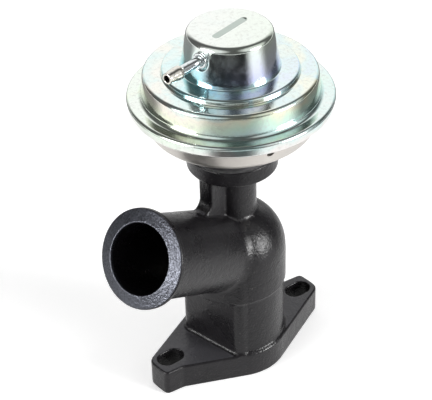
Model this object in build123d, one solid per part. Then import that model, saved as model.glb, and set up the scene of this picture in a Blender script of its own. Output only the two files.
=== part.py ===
from build123d import *
from math import atan2, cos, degrees, pi, radians, sin, tan
import os

# Vacuum EGR valve.  Millimetres.  +Z runs up the valve axis and the origin is the centre of
# the base flange's bottom face.  The flange's long axis is Y.  The hose spigot leaves
# towards -Y, turned a little towards +X, and slopes upwards.

# ---------------------------------------------------------------- driving dimensions
# Base flange
FLANGE_THICKNESS = 11.0
FLANGE_HUB_R = 20.7
BOLT_SPACING = 66.0
SLOT_WIDTH = 7.4
SLOT_LENGTH = 11.0
EAR_END_MARGIN = 7.8          # from a bolt slot's centre to the ear's end
EAR_FLARE = 24.9              # degrees between an ear's edge and the long axis
EAR_HEEL_X = 6.9              # half width of the square corner at each ear's end
EAR_HEEL_LENGTH = 7.8         # straight side that leads to the square corner
EAR_SOFT_CORNER_R = 4.5
EAR_HEEL_CORNER_R = 1.2
EAR_KNEE_R = 3.0
FLANGE_EDGE_R = 0.9

# Column and elbow of the casting
SPIGOT_AZIMUTH = 12.0         # degrees from -Y towards +X
COLUMN_FRONT = 15.4           # flat face under the spigot
COLUMN_HALF_WIDTH = 15.5
COLUMN_CORNER_R = 4.0
BARREL_R = 19.5               # round back and sides of the column
COLUMN_FOOT = 1.6             # reach and height of the flared foot
ELBOW_Z = 49.4                # where the spigot's axis meets the valve axis
ELBOW_R = 20.1
SKIRT_Z = 37.0                # lower edge of the elbow on the barrel
ELBOW_STRAIGHT = 3.8          # straight part between the elbow's two domes
CASTING_WALL = 3.3
SPIGOT_SLOPE = 27.0           # degrees above the horizontal
SPIGOT_LENGTH = 59.9          # from the valve axis to the mouth
SPIGOT_R = 16.0
SPIGOT_BORE_R = 13.15
BEAD_R = 18.5
BEAD_BAND = 1.8
BEAD_FACE_SETBACK = 1.3
BEAD_BACK_TAPER = 2.0
MOUTH_CHAMFER = 0.6
SPIGOT_ROOT_FILLET = 2.0

# Neck and the flange that carries the capsule
NECK_R = 9.0
NECK_ROOT_FILLET = 2.2
NECK_TOP_Z = 96.5
CAPSULE_FLANGE_R = 17.3
CAPSULE_FLANGE_HEIGHT = 6.1
CAPSULE_FLANGE_UNDERCUT = 3.4
CAPSULE_FLANGE_FOOT_R = 1.0   # rounds the lower edge
CAPSULE_FLANGE_EDGE_R = 0.3   # rounds the upper edge
WEB_REACH = 16.3
WEB_THICKNESS = 6.4
WEB_CORNER_R = 1.2
WEB_ROOT_FILLET = 3.5

# Gas port, seat and valve
PORT_R = 11.5
PORT_RELIEF = 0.5             # chamfer under the seat
SEAT_Z = 26.0
SEAT_HEIGHT = 5.0
SEAT_OUTER_R = 13.0
SEAT_BORE_R = 9.5
HEAD_R = 11.8
HEAD_THICKNESS = 2.6
HEAD_HUB_R = 5.0
HEAD_HUB_HEIGHT = 1.6
PINTLE_LENGTH = 4.2
PINTLE_TIP_R = 6.2
PINTLE_CLEARANCE = 0.4
STEM_R = 3.0
STEM_SPIGOT_R = 2.4           # turned-down ends that carry the head and the plates
RUNNING_CLEARANCE = 0.05
VALVE_LIFT = 6.0

# Stem guide and its seal
BUSH_R = 5.0
BUSH_PROTRUSION = 1.5         # below the top of the elbow's chamber
SEAL_POCKET_R = 8.0
SEAL_HEIGHT = 3.0
SEAL_CLEARANCE = 0.08
RETAINER_THICKNESS = 1.0
RETAINER_RIM = 3.2
RETAINER_GAP = 0.8            # between the retainer and the stem
SHIELD_R = 6.4
SHIELD_DEPTH = 2.4
SHIELD_THICKNESS = 1.0
SHIELD_GAP = 1.5              # left under the bush with the valve fully lifted

# Capsule: gasket, mounting plate, lower cup, cover and screws
GASKET_THICKNESS = 0.8
GASKET_SETBACK = 0.4
MOUNT_PLATE_R = 17.2
MOUNT_PLATE_THICKNESS = 3.4
MOUNT_PLATE_EDGE_R = 0.3
SHEET = 1.0
CUP_FLOOR_R = 18.3
CUP_SHOULDER_RISE = 7.4
CUP_WALL_FLARE = 4.0          # from the shoulder out to the mouth
CUP_MOUTH_SETBACK = 3.5       # the mouth lies this far inside the rim
CUP_CENTRE_HOLE_R = 8.6
CUP_BEND_R = 3.0
CAPSULE_DEPTH = 21.0          # cup's underside to the rim's top face
VENT_AZIMUTH = 76.0
VENT_R = 1.4
VENT_RISE = 13.2
RIM_R = 38.3
RIM_LIP_WIDTH = 2.7           # lip crimped in under the cup's flange
RIM_DRAFT = 0.6
DRAW_R = 1.15                 # tight outside bends of the drawn cover
BEAD_SEAT = 1.6               # thickness of the diaphragm's clamped edge
CLAMP_GAP = 0.15              # between the clamped edges and the rim's wall
DRUM_SETBACK = 5.4            # the drum's foot lies this far inside the rim
DRUM_DRAFT = 1.0
DRUM_HEIGHT = 8.8
DRUM_COVE_R = 1.8
LEDGE_R = 25.3
PLATEAU_R = 24.9
PLATEAU_STEP = 1.9
CAP_FOOT_R = 18.2
CAP_TOP_R = 15.5
CAP_HEIGHT = 15.2
CAP_EDGE_R = 1.6
KEY_LENGTH = 18.0             # pressed bar in the cap's top
KEY_WIDTH = 2.2
KEY_DEPTH = 0.5
SCREW_COUNT = 3
SCREW_CIRCLE_R = 13.0
SCREW_R = 2.0
SCREW_LENGTH = 9.9
SCREW_DEPTH = 4.6             # depth of the tapped holes
SCREW_HEAD_R = 3.5
SCREW_HEAD_HEIGHT = 2.4
SCREW_CLEARANCE = 0.25
WASHER_R = 4.2
WASHER_THICKNESS = 0.8
HEX_SOCKET = 2.5

# Vacuum nipple
NIPPLE_RISE = 9.3             # height of its root above the plateau
NIPPLE_SLOPE = 3.0
NIPPLE_R = 1.65
NIPPLE_BORE_R = 1.3
NIPPLE_LENGTH = 17.0          # beyond its collar
NIPPLE_BARB_R = 2.5
NIPPLE_TIP_R = 2.0
NIPPLE_BARB_LENGTH = 6.6
COLLAR_R = 3.3
COLLAR_THICKNESS = 0.9
NIPPLE_FLAT_DEPTH = 0.5       # how far the pressed flat lies inside the cap's wall
NIPPLE_FLAT_R = 4.4

# Diaphragm, its plates and the spring
RUBBER = 1.5
PLATE = 1.2
PLATE_GAP = 0.1               # round the stem's threaded end
STACK_GAP = 2.0               # lower plate above the cup's screws with the valve shut
LOWER_PLATE_R = 20.5
PISTON_R = 22.0
PISTON_STOP_GAP = 0.4
DIAPHRAGM_TROUGH_R = 24.6
NUT_ACROSS_FLATS = 8.0
NUT_HEIGHT = 3.2
STEM_WASHER_R = 5.2
STEM_WASHER_THICKNESS = 1.0
STEM_END = 1.4
SPRING_WIRE_R = 0.9
SPRING_TURNS = 5.5
SPRING_SEAT_GAP = 0.02
TOP_SEAT_MARGIN = 0.8         # between the top seat and the cap's wall
TOP_SEAT_BRIM = 0.4           # top seat beyond the coil
TOP_SEAT_COLLAR = 4.5
TOP_SEAT_COLLAR_GAP = 0.6     # between the collar and the coil

# ---------------------------------------------------------------- sizes that follow
RIM_HEIGHT = 3 * SHEET + BEAD_SEAT
MOUNT_PLATE_Z = NECK_TOP_Z + GASKET_THICKNESS
CUP_Z = MOUNT_PLATE_Z + MOUNT_PLATE_THICKNESS
CUP_FLOOR_Z = CUP_Z + SHEET
RIM_TOP_Z = CUP_Z + CAPSULE_DEPTH
RIM_BOTTOM_Z = RIM_TOP_Z - RIM_HEIGHT
CUP_FLANGE_Z = RIM_BOTTOM_Z + SHEET
CLAMP_Z = CUP_FLANGE_Z + SHEET
CLAMP_R = RIM_R - RIM_DRAFT - SHEET - CLAMP_GAP
RIM_LIP_R = RIM_R - RIM_LIP_WIDTH
CUP_MOUTH_R = RIM_R - CUP_MOUTH_SETBACK
CUP_SHOULDER_R = CUP_MOUTH_R - CUP_WALL_FLARE
DRUM_FOOT_R = RIM_R - DRUM_SETBACK
DRUM_TOP_R = DRUM_FOOT_R - DRUM_DRAFT
LEDGE_Z = RIM_TOP_Z + DRUM_HEIGHT
PLATEAU_Z = LEDGE_Z + PLATEAU_STEP
TOP_Z = PLATEAU_Z + CAP_HEIGHT
SEAT_FACE_Z = SEAT_Z + SEAT_HEIGHT
DOME_LOW_Z = ELBOW_Z - ELBOW_STRAIGHT / 2
DOME_HIGH_Z = ELBOW_Z + ELBOW_STRAIGHT / 2
CHAMBER_R = ELBOW_R - CASTING_WALL
SEAL_POCKET_Z = NECK_TOP_Z - SEAL_HEIGHT - RETAINER_RIM
BUSH_Z = DOME_HIGH_Z + CHAMBER_R - BUSH_PROTRUSION
SHIELD_TOP_Z = BUSH_Z - VALVE_LIFT - SHIELD_GAP
HEAD_TOP_Z = SEAT_FACE_Z + HEAD_THICKNESS + HEAD_HUB_HEIGHT
HEAD_TIP_Z = SEAT_FACE_Z - PINTLE_LENGTH
SCREW_TOP_Z = CUP_FLOOR_Z + WASHER_THICKNESS + SCREW_HEAD_HEIGHT
STACK_Z = SCREW_TOP_Z + STACK_GAP
DIAPHRAGM_Z = STACK_Z + PLATE
PISTON_Z = DIAPHRAGM_Z + RUBBER
PISTON_FLOOR_Z = PISTON_Z + PLATE
PISTON_RIM_Z = PLATEAU_Z - SHEET - VALVE_LIFT - PISTON_STOP_GAP
NUT_Z = PISTON_FLOOR_Z + STEM_WASHER_THICKNESS
TOP_SEAT_Z = TOP_Z - SHEET
TOP_SEAT_R = CAP_TOP_R - SHEET - TOP_SEAT_MARGIN
SPRING_R = TOP_SEAT_R - TOP_SEAT_BRIM - SPRING_WIRE_R
TOP_SEAT_BORE_R = SPRING_R - SPRING_WIRE_R - TOP_SEAT_COLLAR_GAP - SHEET


# ---------------------------------------------------------------- shared shapes
def section(*corners):
    """Closed face from (x, y, corner radius) triples."""
    points = [(x, y) for x, y, radius in corners]
    radii = [radius for x, y, radius in corners]
    return make_face(FilletPolyline(*points, radius=radii, close=True))


def turned(*corners):
    """Solid of revolution about the valve axis from (radius, height, corner radius) triples."""
    return revolve(Plane.XZ * section(*corners), Axis.Z)


def ring(outer_r, inner_r, low_z, high_z):
    """Plain washer or sleeve on the valve axis."""
    return turned((inner_r, low_z, 0), (outer_r, low_z, 0), (outer_r, high_z, 0), (inner_r, high_z, 0))


def rod(radius, low_z, high_z):
    """Plain round bar on the valve axis."""
    return turned((0, low_z, 0), (radius, low_z, 0), (radius, high_z, 0), (0, high_z, 0))


def sheet(corners, thickness, side):
    """Pressed sheet: a filleted outline and its copy, one thickness away on one side.

    corners are (radius, height, fillet) triples.  side is 1 for the left of the direction of
    travel and -1 for the right.
    """
    steps = list(zip(corners, corners[1:]))
    angles = [atan2(b[1] - a[1], b[0] - a[0]) for a, b in steps]
    before = [angles[0]] + angles
    after = angles + [angles[-1]]
    inner = []
    for (x, y, fillet_r), a, b in zip(corners, before, after):
        turn = (b - a + pi) % (2 * pi) - pi
        reach = side * thickness / cos(turn / 2)
        normal = a + turn / 2 + pi / 2
        grown = fillet_r - thickness if turn * side > 0 else fillet_r + thickness
        radius = grown if fillet_r > 0 else 0
        inner.append((x + reach * cos(normal), y + reach * sin(normal), radius))
    return turned(*corners, *reversed(inner))


def around(shape, count, radius, start=0):
    """Copies of a shape, evenly spaced on a circle about the valve axis."""
    return [Rot(0, 0, start + 360 * i / count) * Pos(radius, 0, 0) * shape for i in range(count)]


# Frames: one with its X axis along the spigot in plan, one along the spigot itself
SPIGOT_PLAN = Rot(0, 0, SPIGOT_AZIMUTH - 90)
SPIGOT_AXIS = SPIGOT_PLAN * Pos(0, 0, ELBOW_Z) * Rot(0, 90 - SPIGOT_SLOPE, 0)


# ---------------------------------------------------------------- cast housing
def flange_outline():
    """Two-eared flange: a round hub, straight edges that run to each ear, one square heel."""
    flare = radians(EAR_FLARE)
    end_r = BOLT_SPACING / 2 + EAR_END_MARGIN
    run = (end_r ** 2 - FLANGE_HUB_R ** 2) ** 0.5
    hub_x = FLANGE_HUB_R * cos(flare)
    hub_y = -FLANGE_HUB_R * sin(flare)
    soft = Vector(-hub_x + run * sin(flare), hub_y - run * cos(flare))
    heel = Vector(EAR_HEEL_X, -((end_r ** 2 - EAR_HEEL_X ** 2) ** 0.5))
    knee_y = heel.Y + EAR_HEEL_LENGTH
    knee = Vector((FLANGE_HUB_R + knee_y * sin(flare)) / cos(flare), knee_y)
    tip = (soft + heel).normalized() * end_r
    left, right = Vector(-hub_x, hub_y), Vector(hub_x, hub_y)
    half = [
        Line(left, soft),
        ThreePointArc(soft, tip, heel),
        Line(heel, knee),
        Line(knee, right),
        ThreePointArc(right, (FLANGE_HUB_R, 0), -left),
    ]
    outline = make_face(half + [Rot(0, 0, 180) * edge for edge in half])
    for corner, radius in ((soft, EAR_SOFT_CORNER_R), (heel, EAR_HEEL_CORNER_R), (knee, EAR_KNEE_R)):
        for place in (corner, -corner):
            vertex = outline.vertices().sort_by_distance(place)[0]
            outline = fillet(vertex, radius)
    return outline


def flange():
    plate = extrude(flange_outline(), FLANGE_THICKNESS)
    plate = fillet(plate.faces().sort_by(Axis.Z)[-1].edges(), FLANGE_EDGE_R)
    slot = extrude(SlotOverall(SLOT_LENGTH, SLOT_WIDTH, rotation=90), FLANGE_THICKNESS)
    for y in (-BOLT_SPACING / 2, BOLT_SPACING / 2):
        plate -= Pos(0, y, 0) * slot
    return plate


def column_sections():
    """Plan of the column: a round barrel, and a squarer front under the spigot."""
    inside_front = COLUMN_FRONT - COLUMN_CORNER_R / 2
    reach = 2 * BARREL_R
    behind = section(
        (inside_front, -reach, 0),
        (inside_front, reach, 0),
        (-reach, reach, 0),
        (-reach, -reach, 0),
    )
    front = section(
        (COLUMN_FRONT, -COLUMN_HALF_WIDTH, COLUMN_CORNER_R),
        (COLUMN_FRONT, COLUMN_HALF_WIDTH, COLUMN_CORNER_R),
        (0, COLUMN_HALF_WIDTH, 0),
        (0, -COLUMN_HALF_WIDTH, 0),
    )
    return [SPIGOT_PLAN * (Circle(BARREL_R) & behind), SPIGOT_PLAN * front]


def column():
    """Column from the flange up into the elbow, with a flared foot."""
    barrel, front = column_sections()
    shaft = extrude(barrel, DOME_LOW_Z) + extrude(front, DOME_LOW_Z)
    foot_top = FLANGE_THICKNESS + COLUMN_FOOT
    foot = extrude(barrel, -COLUMN_FOOT, taper=-45) + extrude(front, -COLUMN_FOOT, taper=-45)
    inside_flange = extrude(flange_outline(), foot_top)
    return shaft + (Pos(0, 0, foot_top) * foot & inside_flange)


def elbow():
    """Pill-shaped body where the column meets the spigot, with a skirt that steps in to the barrel."""
    low = Pos(0, 0, DOME_LOW_Z) * Sphere(ELBOW_R)
    high = Pos(0, 0, DOME_HIGH_Z) * Sphere(ELBOW_R)
    middle = turned(
        (0, SKIRT_Z, 0),
        (BARREL_R, SKIRT_Z, 0),
        (ELBOW_R, SKIRT_Z + ELBOW_R - BARREL_R, 0),
        (ELBOW_R, DOME_HIGH_Z, 0),
        (0, DOME_HIGH_Z, 0),
    )
    return low + middle + high


def dome_blend(dome_r, shaft_r, blend_r):
    """Concave arc between a dome and a coaxial shaft, as (radius, height above the dome's centre)."""
    height = ((dome_r + blend_r) ** 2 - (shaft_r + blend_r) ** 2) ** 0.5
    centre = Vector(shaft_r + blend_r, height)
    start = centre * (dome_r / (dome_r + blend_r))
    end = Vector(shaft_r, height)
    middle = centre + ((start + end) / 2 - centre).normalized() * blend_r
    return ThreePointArc(start, middle, end)


def spigot():
    """Hose spigot with a rolled bead behind its mouth, and a flared root on the elbow."""
    root = dome_blend(ELBOW_R, SPIGOT_R, SPIGOT_ROOT_FILLET)
    face_z = SPIGOT_LENGTH - BEAD_FACE_SETBACK
    back_z = face_z - BEAD_BAND
    rise = BEAD_R - SPIGOT_R
    profile = FilletPolyline(
        root @ 1,
        (SPIGOT_R, back_z - BEAD_BACK_TAPER),
        (BEAD_R, back_z),
        (BEAD_R, face_z),
        (SPIGOT_BORE_R + MOUTH_CHAMFER, SPIGOT_LENGTH),
        (0, SPIGOT_LENGTH),
        radius=[rise / 2, BEAD_BAND / 4, BEAD_BAND / 4, MOUTH_CHAMFER / 2],
    )
    face = make_face([root, *profile.edges(), Line((0, SPIGOT_LENGTH), (0, 0)), Line((0, 0), root @ 0)])
    return SPIGOT_AXIS * revolve(Plane.XZ * face, Axis.Z)


def neck():
    """Round neck that opens into the round flange under the capsule."""
    root = dome_blend(ELBOW_R, NECK_R, NECK_ROOT_FILLET)
    dome_z = DOME_HIGH_Z
    foot_z = NECK_TOP_Z - CAPSULE_FLANGE_HEIGHT
    top = NECK_TOP_Z - dome_z
    profile = FilletPolyline(
        root @ 1,
        (NECK_R, foot_z - CAPSULE_FLANGE_UNDERCUT - dome_z),
        (CAPSULE_FLANGE_R, foot_z - dome_z),
        (CAPSULE_FLANGE_R, top),
        (0, top),
        radius=[NECK_ROOT_FILLET, CAPSULE_FLANGE_FOOT_R, CAPSULE_FLANGE_EDGE_R],
    )
    face = make_face([root, *profile.edges(), Line((0, top), (0, 0)), Line((0, 0), root @ 0)])
    return Pos(0, 0, dome_z) * revolve(Plane.XZ * face, Axis.Z)


def web():
    """Upright web that ties the neck and its flange to the top of the spigot."""
    slope = radians(SPIGOT_SLOPE)
    ridge_z = ELBOW_Z + SPIGOT_R / cos(slope)
    reach_z = ridge_z + WEB_REACH * tan(slope)
    run_out = WEB_REACH + 2 * WEB_ROOT_FILLET
    flange_middle_z = NECK_TOP_Z - CAPSULE_FLANGE_HEIGHT / 2
    profile = section(
        (0, ELBOW_Z, 0),
        (run_out, ELBOW_Z, 0),
        (run_out, ridge_z + run_out * tan(slope), 0),
        (WEB_REACH, reach_z, WEB_ROOT_FILLET),
        (WEB_REACH, flange_middle_z, 0),
        (0, flange_middle_z, 0),
    )
    plate = extrude(Plane.XZ * profile, WEB_THICKNESS / 2, both=True)
    rounded = []
    for edge in plate.edges():
        middle = edge.center()
        on_side = abs(middle.Y) > WEB_THICKNESS / 4
        if on_side and middle.Z > ridge_z and middle.X > WEB_REACH - WEB_CORNER_R:
            rounded.append(edge)
    return SPIGOT_PLAN * fillet(rounded, WEB_CORNER_R)


def gas_passage():
    """Port, seat pocket, elbow chamber and spigot bore, as one tool."""
    port = turned(
        (0, 0, 0),
        (PORT_R, 0, 0),
        (PORT_R, SEAT_Z - PORT_RELIEF, 0),
        (PORT_R + PORT_RELIEF, SEAT_Z, 0),
        (0, SEAT_Z, 0),
    )
    pocket = rod(SEAT_OUTER_R, SEAT_Z, ELBOW_Z)
    low = Pos(0, 0, DOME_LOW_Z) * Sphere(CHAMBER_R)
    high = Pos(0, 0, DOME_HIGH_Z) * Sphere(CHAMBER_R)
    middle = rod(CHAMBER_R, DOME_LOW_Z, DOME_HIGH_Z)
    bore = turned(
        (0, 0, 0),
        (SPIGOT_BORE_R, 0, 0),
        (SPIGOT_BORE_R, SPIGOT_LENGTH - MOUTH_CHAMFER, 0),
        (SPIGOT_BORE_R + 2 * MOUTH_CHAMFER, SPIGOT_LENGTH + MOUTH_CHAMFER, 0),
        (0, SPIGOT_LENGTH + MOUTH_CHAMFER, 0),
    )
    return port + pocket + low + high + middle + SPIGOT_AXIS * bore


def valve_housing():
    body = flange() + column() + elbow() + spigot() + neck() + web()
    body -= gas_passage()
    body -= rod(BUSH_R, ELBOW_Z, NECK_TOP_Z)
    body -= rod(SEAL_POCKET_R, SEAL_POCKET_Z, NECK_TOP_Z)
    tapping = Pos(0, 0, NECK_TOP_Z - SCREW_DEPTH) * rod(SCREW_R, 0, SCREW_DEPTH)
    for hole in around(tapping, SCREW_COUNT, SCREW_CIRCLE_R, SPIGOT_AZIMUTH):
        body -= hole
    return body


# ---------------------------------------------------------------- seat, valve and stem
def valve_seat():
    """Pressed-in ring whose flat top face is the seat."""
    lead = SEAT_HEIGHT / 10
    return turned(
        (SEAT_BORE_R, SEAT_Z, 0),
        (SEAT_OUTER_R, SEAT_Z, 0),
        (SEAT_OUTER_R, SEAT_FACE_Z - lead, 0),
        (SEAT_OUTER_R - lead, SEAT_FACE_Z, 0),
        (SEAT_BORE_R, SEAT_FACE_Z, 0),
    )


def valve_head():
    """Poppet that shuts down on the seat, with a tapered pintle in the seat's bore."""
    hub_z = SEAT_FACE_Z + HEAD_THICKNESS
    return turned(
        (STEM_SPIGOT_R, HEAD_TIP_Z, 0),
        (PINTLE_TIP_R, HEAD_TIP_Z, 0),
        (SEAT_BORE_R - PINTLE_CLEARANCE, SEAT_FACE_Z, 0),
        (HEAD_R, SEAT_FACE_Z, 0),
        (HEAD_R, SEAT_FACE_Z + HEAD_THICKNESS / 2, 0),
        (HEAD_HUB_R, hub_z, HEAD_HUB_HEIGHT / 2),
        (HEAD_HUB_R, HEAD_TOP_Z, 0),
        (STEM_SPIGOT_R, HEAD_TOP_Z, 0),
    )


def valve_stem():
    """Ground stem, turned down at both ends, peened under the head and threaded above."""
    peen = STEM_SPIGOT_R / 2
    end_z = NUT_Z + NUT_HEIGHT + STEM_END
    return turned(
        (0, HEAD_TIP_Z - peen, 0),
        (STEM_SPIGOT_R, HEAD_TIP_Z - peen, 0),
        (STEM_SPIGOT_R + peen, HEAD_TIP_Z, 0),
        (STEM_SPIGOT_R, HEAD_TIP_Z, 0),
        (STEM_SPIGOT_R, HEAD_TOP_Z, 0),
        (STEM_R, HEAD_TOP_Z, 0),
        (STEM_R, STACK_Z, 0),
        (STEM_SPIGOT_R, STACK_Z, 0),
        (STEM_SPIGOT_R, end_z - STEM_END / 2, 0),
        (STEM_SPIGOT_R - STEM_END / 2, end_z, 0),
        (0, end_z, 0),
    )


def heat_shield():
    """Dished deflector on the stem that keeps soot off the guide."""
    floor_z = SHIELD_TOP_Z - SHIELD_DEPTH
    return sheet(
        [(STEM_R, floor_z, 0), (SHIELD_R, floor_z, 2 * SHIELD_THICKNESS), (SHIELD_R, SHIELD_TOP_Z, 0)],
        SHIELD_THICKNESS,
        1,
    )


def guide_bush():
    lead = (BUSH_R - STEM_R) / 4
    return turned(
        (STEM_R + RUNNING_CLEARANCE, BUSH_Z, 0),
        (BUSH_R - lead, BUSH_Z, 0),
        (BUSH_R, BUSH_Z + lead, 0),
        (BUSH_R, SEAL_POCKET_Z, 0),
        (STEM_R + RUNNING_CLEARANCE, SEAL_POCKET_Z, 0),
    )


def stem_seal():
    return ring(SEAL_POCKET_R, STEM_R + SEAL_CLEARANCE, SEAL_POCKET_Z, SEAL_POCKET_Z + SEAL_HEIGHT)


def seal_retainer():
    """Pressed cup that holds the seal down; its rim grips the pocket."""
    low_z = SEAL_POCKET_Z + SEAL_HEIGHT
    return sheet(
        [(STEM_R + RETAINER_GAP, low_z, 0), (SEAL_POCKET_R, low_z, 1.5 * RETAINER_THICKNESS),
         (SEAL_POCKET_R, NECK_TOP_Z, 0)],
        RETAINER_THICKNESS,
        1,
    )


# ---------------------------------------------------------------- capsule shell
def screw_holes(low_z, high_z):
    """Clearance holes for the cup's screws."""
    hole = Pos(0, 0, low_z) * rod(SCREW_R + SCREW_CLEARANCE, 0, high_z - low_z)
    return around(hole, SCREW_COUNT, SCREW_CIRCLE_R, SPIGOT_AZIMUTH)


def neck_gasket():
    outer_r = CAPSULE_FLANGE_R - GASKET_SETBACK
    gasket = ring(outer_r, CUP_CENTRE_HOLE_R, NECK_TOP_Z, MOUNT_PLATE_Z)
    for hole in screw_holes(NECK_TOP_Z, MOUNT_PLATE_Z):
        gasket -= hole
    return gasket


def mounting_plate():
    """Thick steel ring that stiffens the capsule's floor over the gasket."""
    plate = turned(
        (CUP_CENTRE_HOLE_R, MOUNT_PLATE_Z, 0),
        (MOUNT_PLATE_R, MOUNT_PLATE_Z, MOUNT_PLATE_EDGE_R),
        (MOUNT_PLATE_R, CUP_Z, MOUNT_PLATE_EDGE_R),
        (CUP_CENTRE_HOLE_R, CUP_Z, 0),
    )
    for hole in screw_holes(MOUNT_PLATE_Z, CUP_Z):
        plate -= hole
    return plate


def lower_cup():
    """Pressed bowl: flat floor, conical shoulder, steep wall and a flange under the diaphragm."""
    shoulder_z = CUP_Z + CUP_SHOULDER_RISE
    cup = sheet(
        [
            (CUP_CENTRE_HOLE_R, CUP_Z, 0),
            (CUP_FLOOR_R, CUP_Z, CUP_BEND_R),
            (CUP_SHOULDER_R, shoulder_z, 2 * CUP_BEND_R),
            (CUP_MOUTH_R, CUP_FLANGE_Z, SHEET / 2),
            (CLAMP_R, CUP_FLANGE_Z, 0),
        ],
        SHEET,
        1,
    )
    for hole in screw_holes(CUP_Z, CUP_FLOOR_Z):
        cup -= hole
    wall_run = CUP_MOUTH_R - CUP_SHOULDER_R
    wall_rise = CUP_FLANGE_Z - shoulder_z
    vent_r = CUP_SHOULDER_R + wall_run * (VENT_RISE - CUP_SHOULDER_RISE) / wall_rise
    tilt = 90 + degrees(atan2(wall_run, wall_rise))
    drill = Rot(0, tilt, 0) * Cylinder(VENT_R, 6 * SHEET)
    return cup - Rot(0, 0, VENT_AZIMUTH - 90) * Pos(vent_r, 0, CUP_Z + VENT_RISE) * drill


def cup_screws():
    """Socket button screws that hold the lower cup down on the neck."""
    head_z = CUP_FLOOR_Z + WASHER_THICKNESS
    shank_r = SCREW_R - SCREW_CLEARANCE / 3
    screw = turned(
        (0, head_z - SCREW_LENGTH, 0),
        (shank_r, head_z - SCREW_LENGTH, 0),
        (shank_r, head_z, 0),
        (SCREW_HEAD_R, head_z, 0),
        (SCREW_HEAD_R, head_z + SCREW_HEAD_HEIGHT, SCREW_HEAD_HEIGHT / 3),
        (0, head_z + SCREW_HEAD_HEIGHT, 0),
    )
    socket = extrude(RegularPolygon(HEX_SOCKET / 2, 6, major_radius=False), SCREW_HEAD_HEIGHT / 2)
    screw -= Pos(0, 0, head_z + SCREW_HEAD_HEIGHT / 2) * socket
    return Compound(children=around(screw, SCREW_COUNT, SCREW_CIRCLE_R, SPIGOT_AZIMUTH))


def screw_washers():
    washer = ring(WASHER_R, SCREW_R + SCREW_CLEARANCE, CUP_FLOOR_Z, CUP_FLOOR_Z + WASHER_THICKNESS)
    return Compound(children=around(washer, SCREW_COUNT, SCREW_CIRCLE_R, SPIGOT_AZIMUTH))


# The nipple's own frame: Z runs out along it from the pressed flat in the cap's wall
def cap_wall_r(height):
    """Outside radius of the cap's tapered wall at a height above the plateau."""
    return CAP_FOOT_R + (CAP_TOP_R - CAP_FOOT_R) * height / CAP_HEIGHT


NIPPLE_FLAT_X = cap_wall_r(NIPPLE_RISE) - NIPPLE_FLAT_DEPTH
NIPPLE_AXIS = (
    SPIGOT_PLAN * Pos(NIPPLE_FLAT_X, 0, PLATEAU_Z + NIPPLE_RISE) * Rot(0, 90 - NIPPLE_SLOPE, 0)
)


def upper_cover():
    """Drawn cover: cap, plateau, ledge, drum and a rim that is crimped round the cup's flange."""
    cover = sheet(
        [
            (0, TOP_Z, 0),
            (CAP_TOP_R, TOP_Z, CAP_EDGE_R),
            (CAP_FOOT_R, PLATEAU_Z, SHEET / 2),
            (PLATEAU_R, PLATEAU_Z, DRAW_R),
            (LEDGE_R, LEDGE_Z, SHEET / 2),
            (DRUM_TOP_R, LEDGE_Z, DRAW_R),
            (DRUM_FOOT_R, RIM_TOP_Z, DRUM_COVE_R),
            (RIM_R, RIM_TOP_Z, DRAW_R),
            (RIM_R - RIM_DRAFT, RIM_BOTTOM_Z, DRAW_R),
            (RIM_LIP_R, RIM_BOTTOM_Z, 0),
        ],
        SHEET,
        -1,
    )
    key = extrude(SlotOverall(KEY_LENGTH, KEY_WIDTH), -KEY_DEPTH)
    boss = extrude(SlotOverall(KEY_LENGTH + SHEET, KEY_WIDTH + SHEET), -KEY_DEPTH)
    cover += SPIGOT_PLAN * Pos(0, 0, TOP_Z - SHEET) * boss
    cover -= SPIGOT_PLAN * Pos(0, 0, TOP_Z) * key
    cap_outside = turned(
        (0, PLATEAU_Z, 0),
        (CAP_FOOT_R, PLATEAU_Z, 0),
        (CAP_TOP_R, TOP_Z, CAP_EDGE_R),
        (0, TOP_Z, 0),
    )
    pad = NIPPLE_AXIS * Pos(0, 0, SHEET) * Cylinder(NIPPLE_FLAT_R + SHEET, 4 * SHEET)
    spotface = Pos(0, 0, 2 * SHEET) * Cylinder(NIPPLE_FLAT_R, 4 * SHEET)
    cover = cover + (pad & cap_outside)
    cover = cover - NIPPLE_AXIS * spotface
    return cover - NIPPLE_AXIS * Cylinder(NIPPLE_R, 8 * SHEET)


def nipple_collar():
    return NIPPLE_AXIS * turned(
        (NIPPLE_R, 0, 0),
        (COLLAR_R, 0, 0),
        (COLLAR_R, COLLAR_THICKNESS, COLLAR_THICKNESS / 3),
        (NIPPLE_R, COLLAR_THICKNESS, 0),
    )


def vacuum_nipple():
    """Thin tube with one barb for the vacuum hose."""
    tip_z = COLLAR_THICKNESS + NIPPLE_LENGTH
    barb_z = tip_z - NIPPLE_BARB_LENGTH
    shoulder = NIPPLE_BARB_R - NIPPLE_R
    return NIPPLE_AXIS * turned(
        (NIPPLE_BORE_R, -2 * SHEET, 0),
        (NIPPLE_R, -2 * SHEET, 0),
        (NIPPLE_R, barb_z - shoulder, 0),
        (NIPPLE_BARB_R, barb_z, shoulder / 3),
        (NIPPLE_BARB_R, barb_z + shoulder * 2, shoulder),
        (NIPPLE_TIP_R, tip_z, shoulder / 3),
        (NIPPLE_BORE_R, tip_z, 0),
    )


# ---------------------------------------------------------------- diaphragm and spring
def diaphragm():
    """Moulded rubber: flat centre between the plates, one deep slope, thick clamped edge."""
    membrane = sheet(
        [
            (STEM_SPIGOT_R + PLATE_GAP, DIAPHRAGM_Z, 0),
            (DIAPHRAGM_TROUGH_R, DIAPHRAGM_Z, 2 * RUBBER),
            (CUP_MOUTH_R - RUBBER, CLAMP_Z, RUBBER),
            (CUP_MOUTH_R, CLAMP_Z, 0),
        ],
        RUBBER,
        1,
    )
    return membrane + ring(CLAMP_R, CUP_MOUTH_R - RUBBER / 2, CLAMP_Z, CLAMP_Z + BEAD_SEAT)


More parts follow.
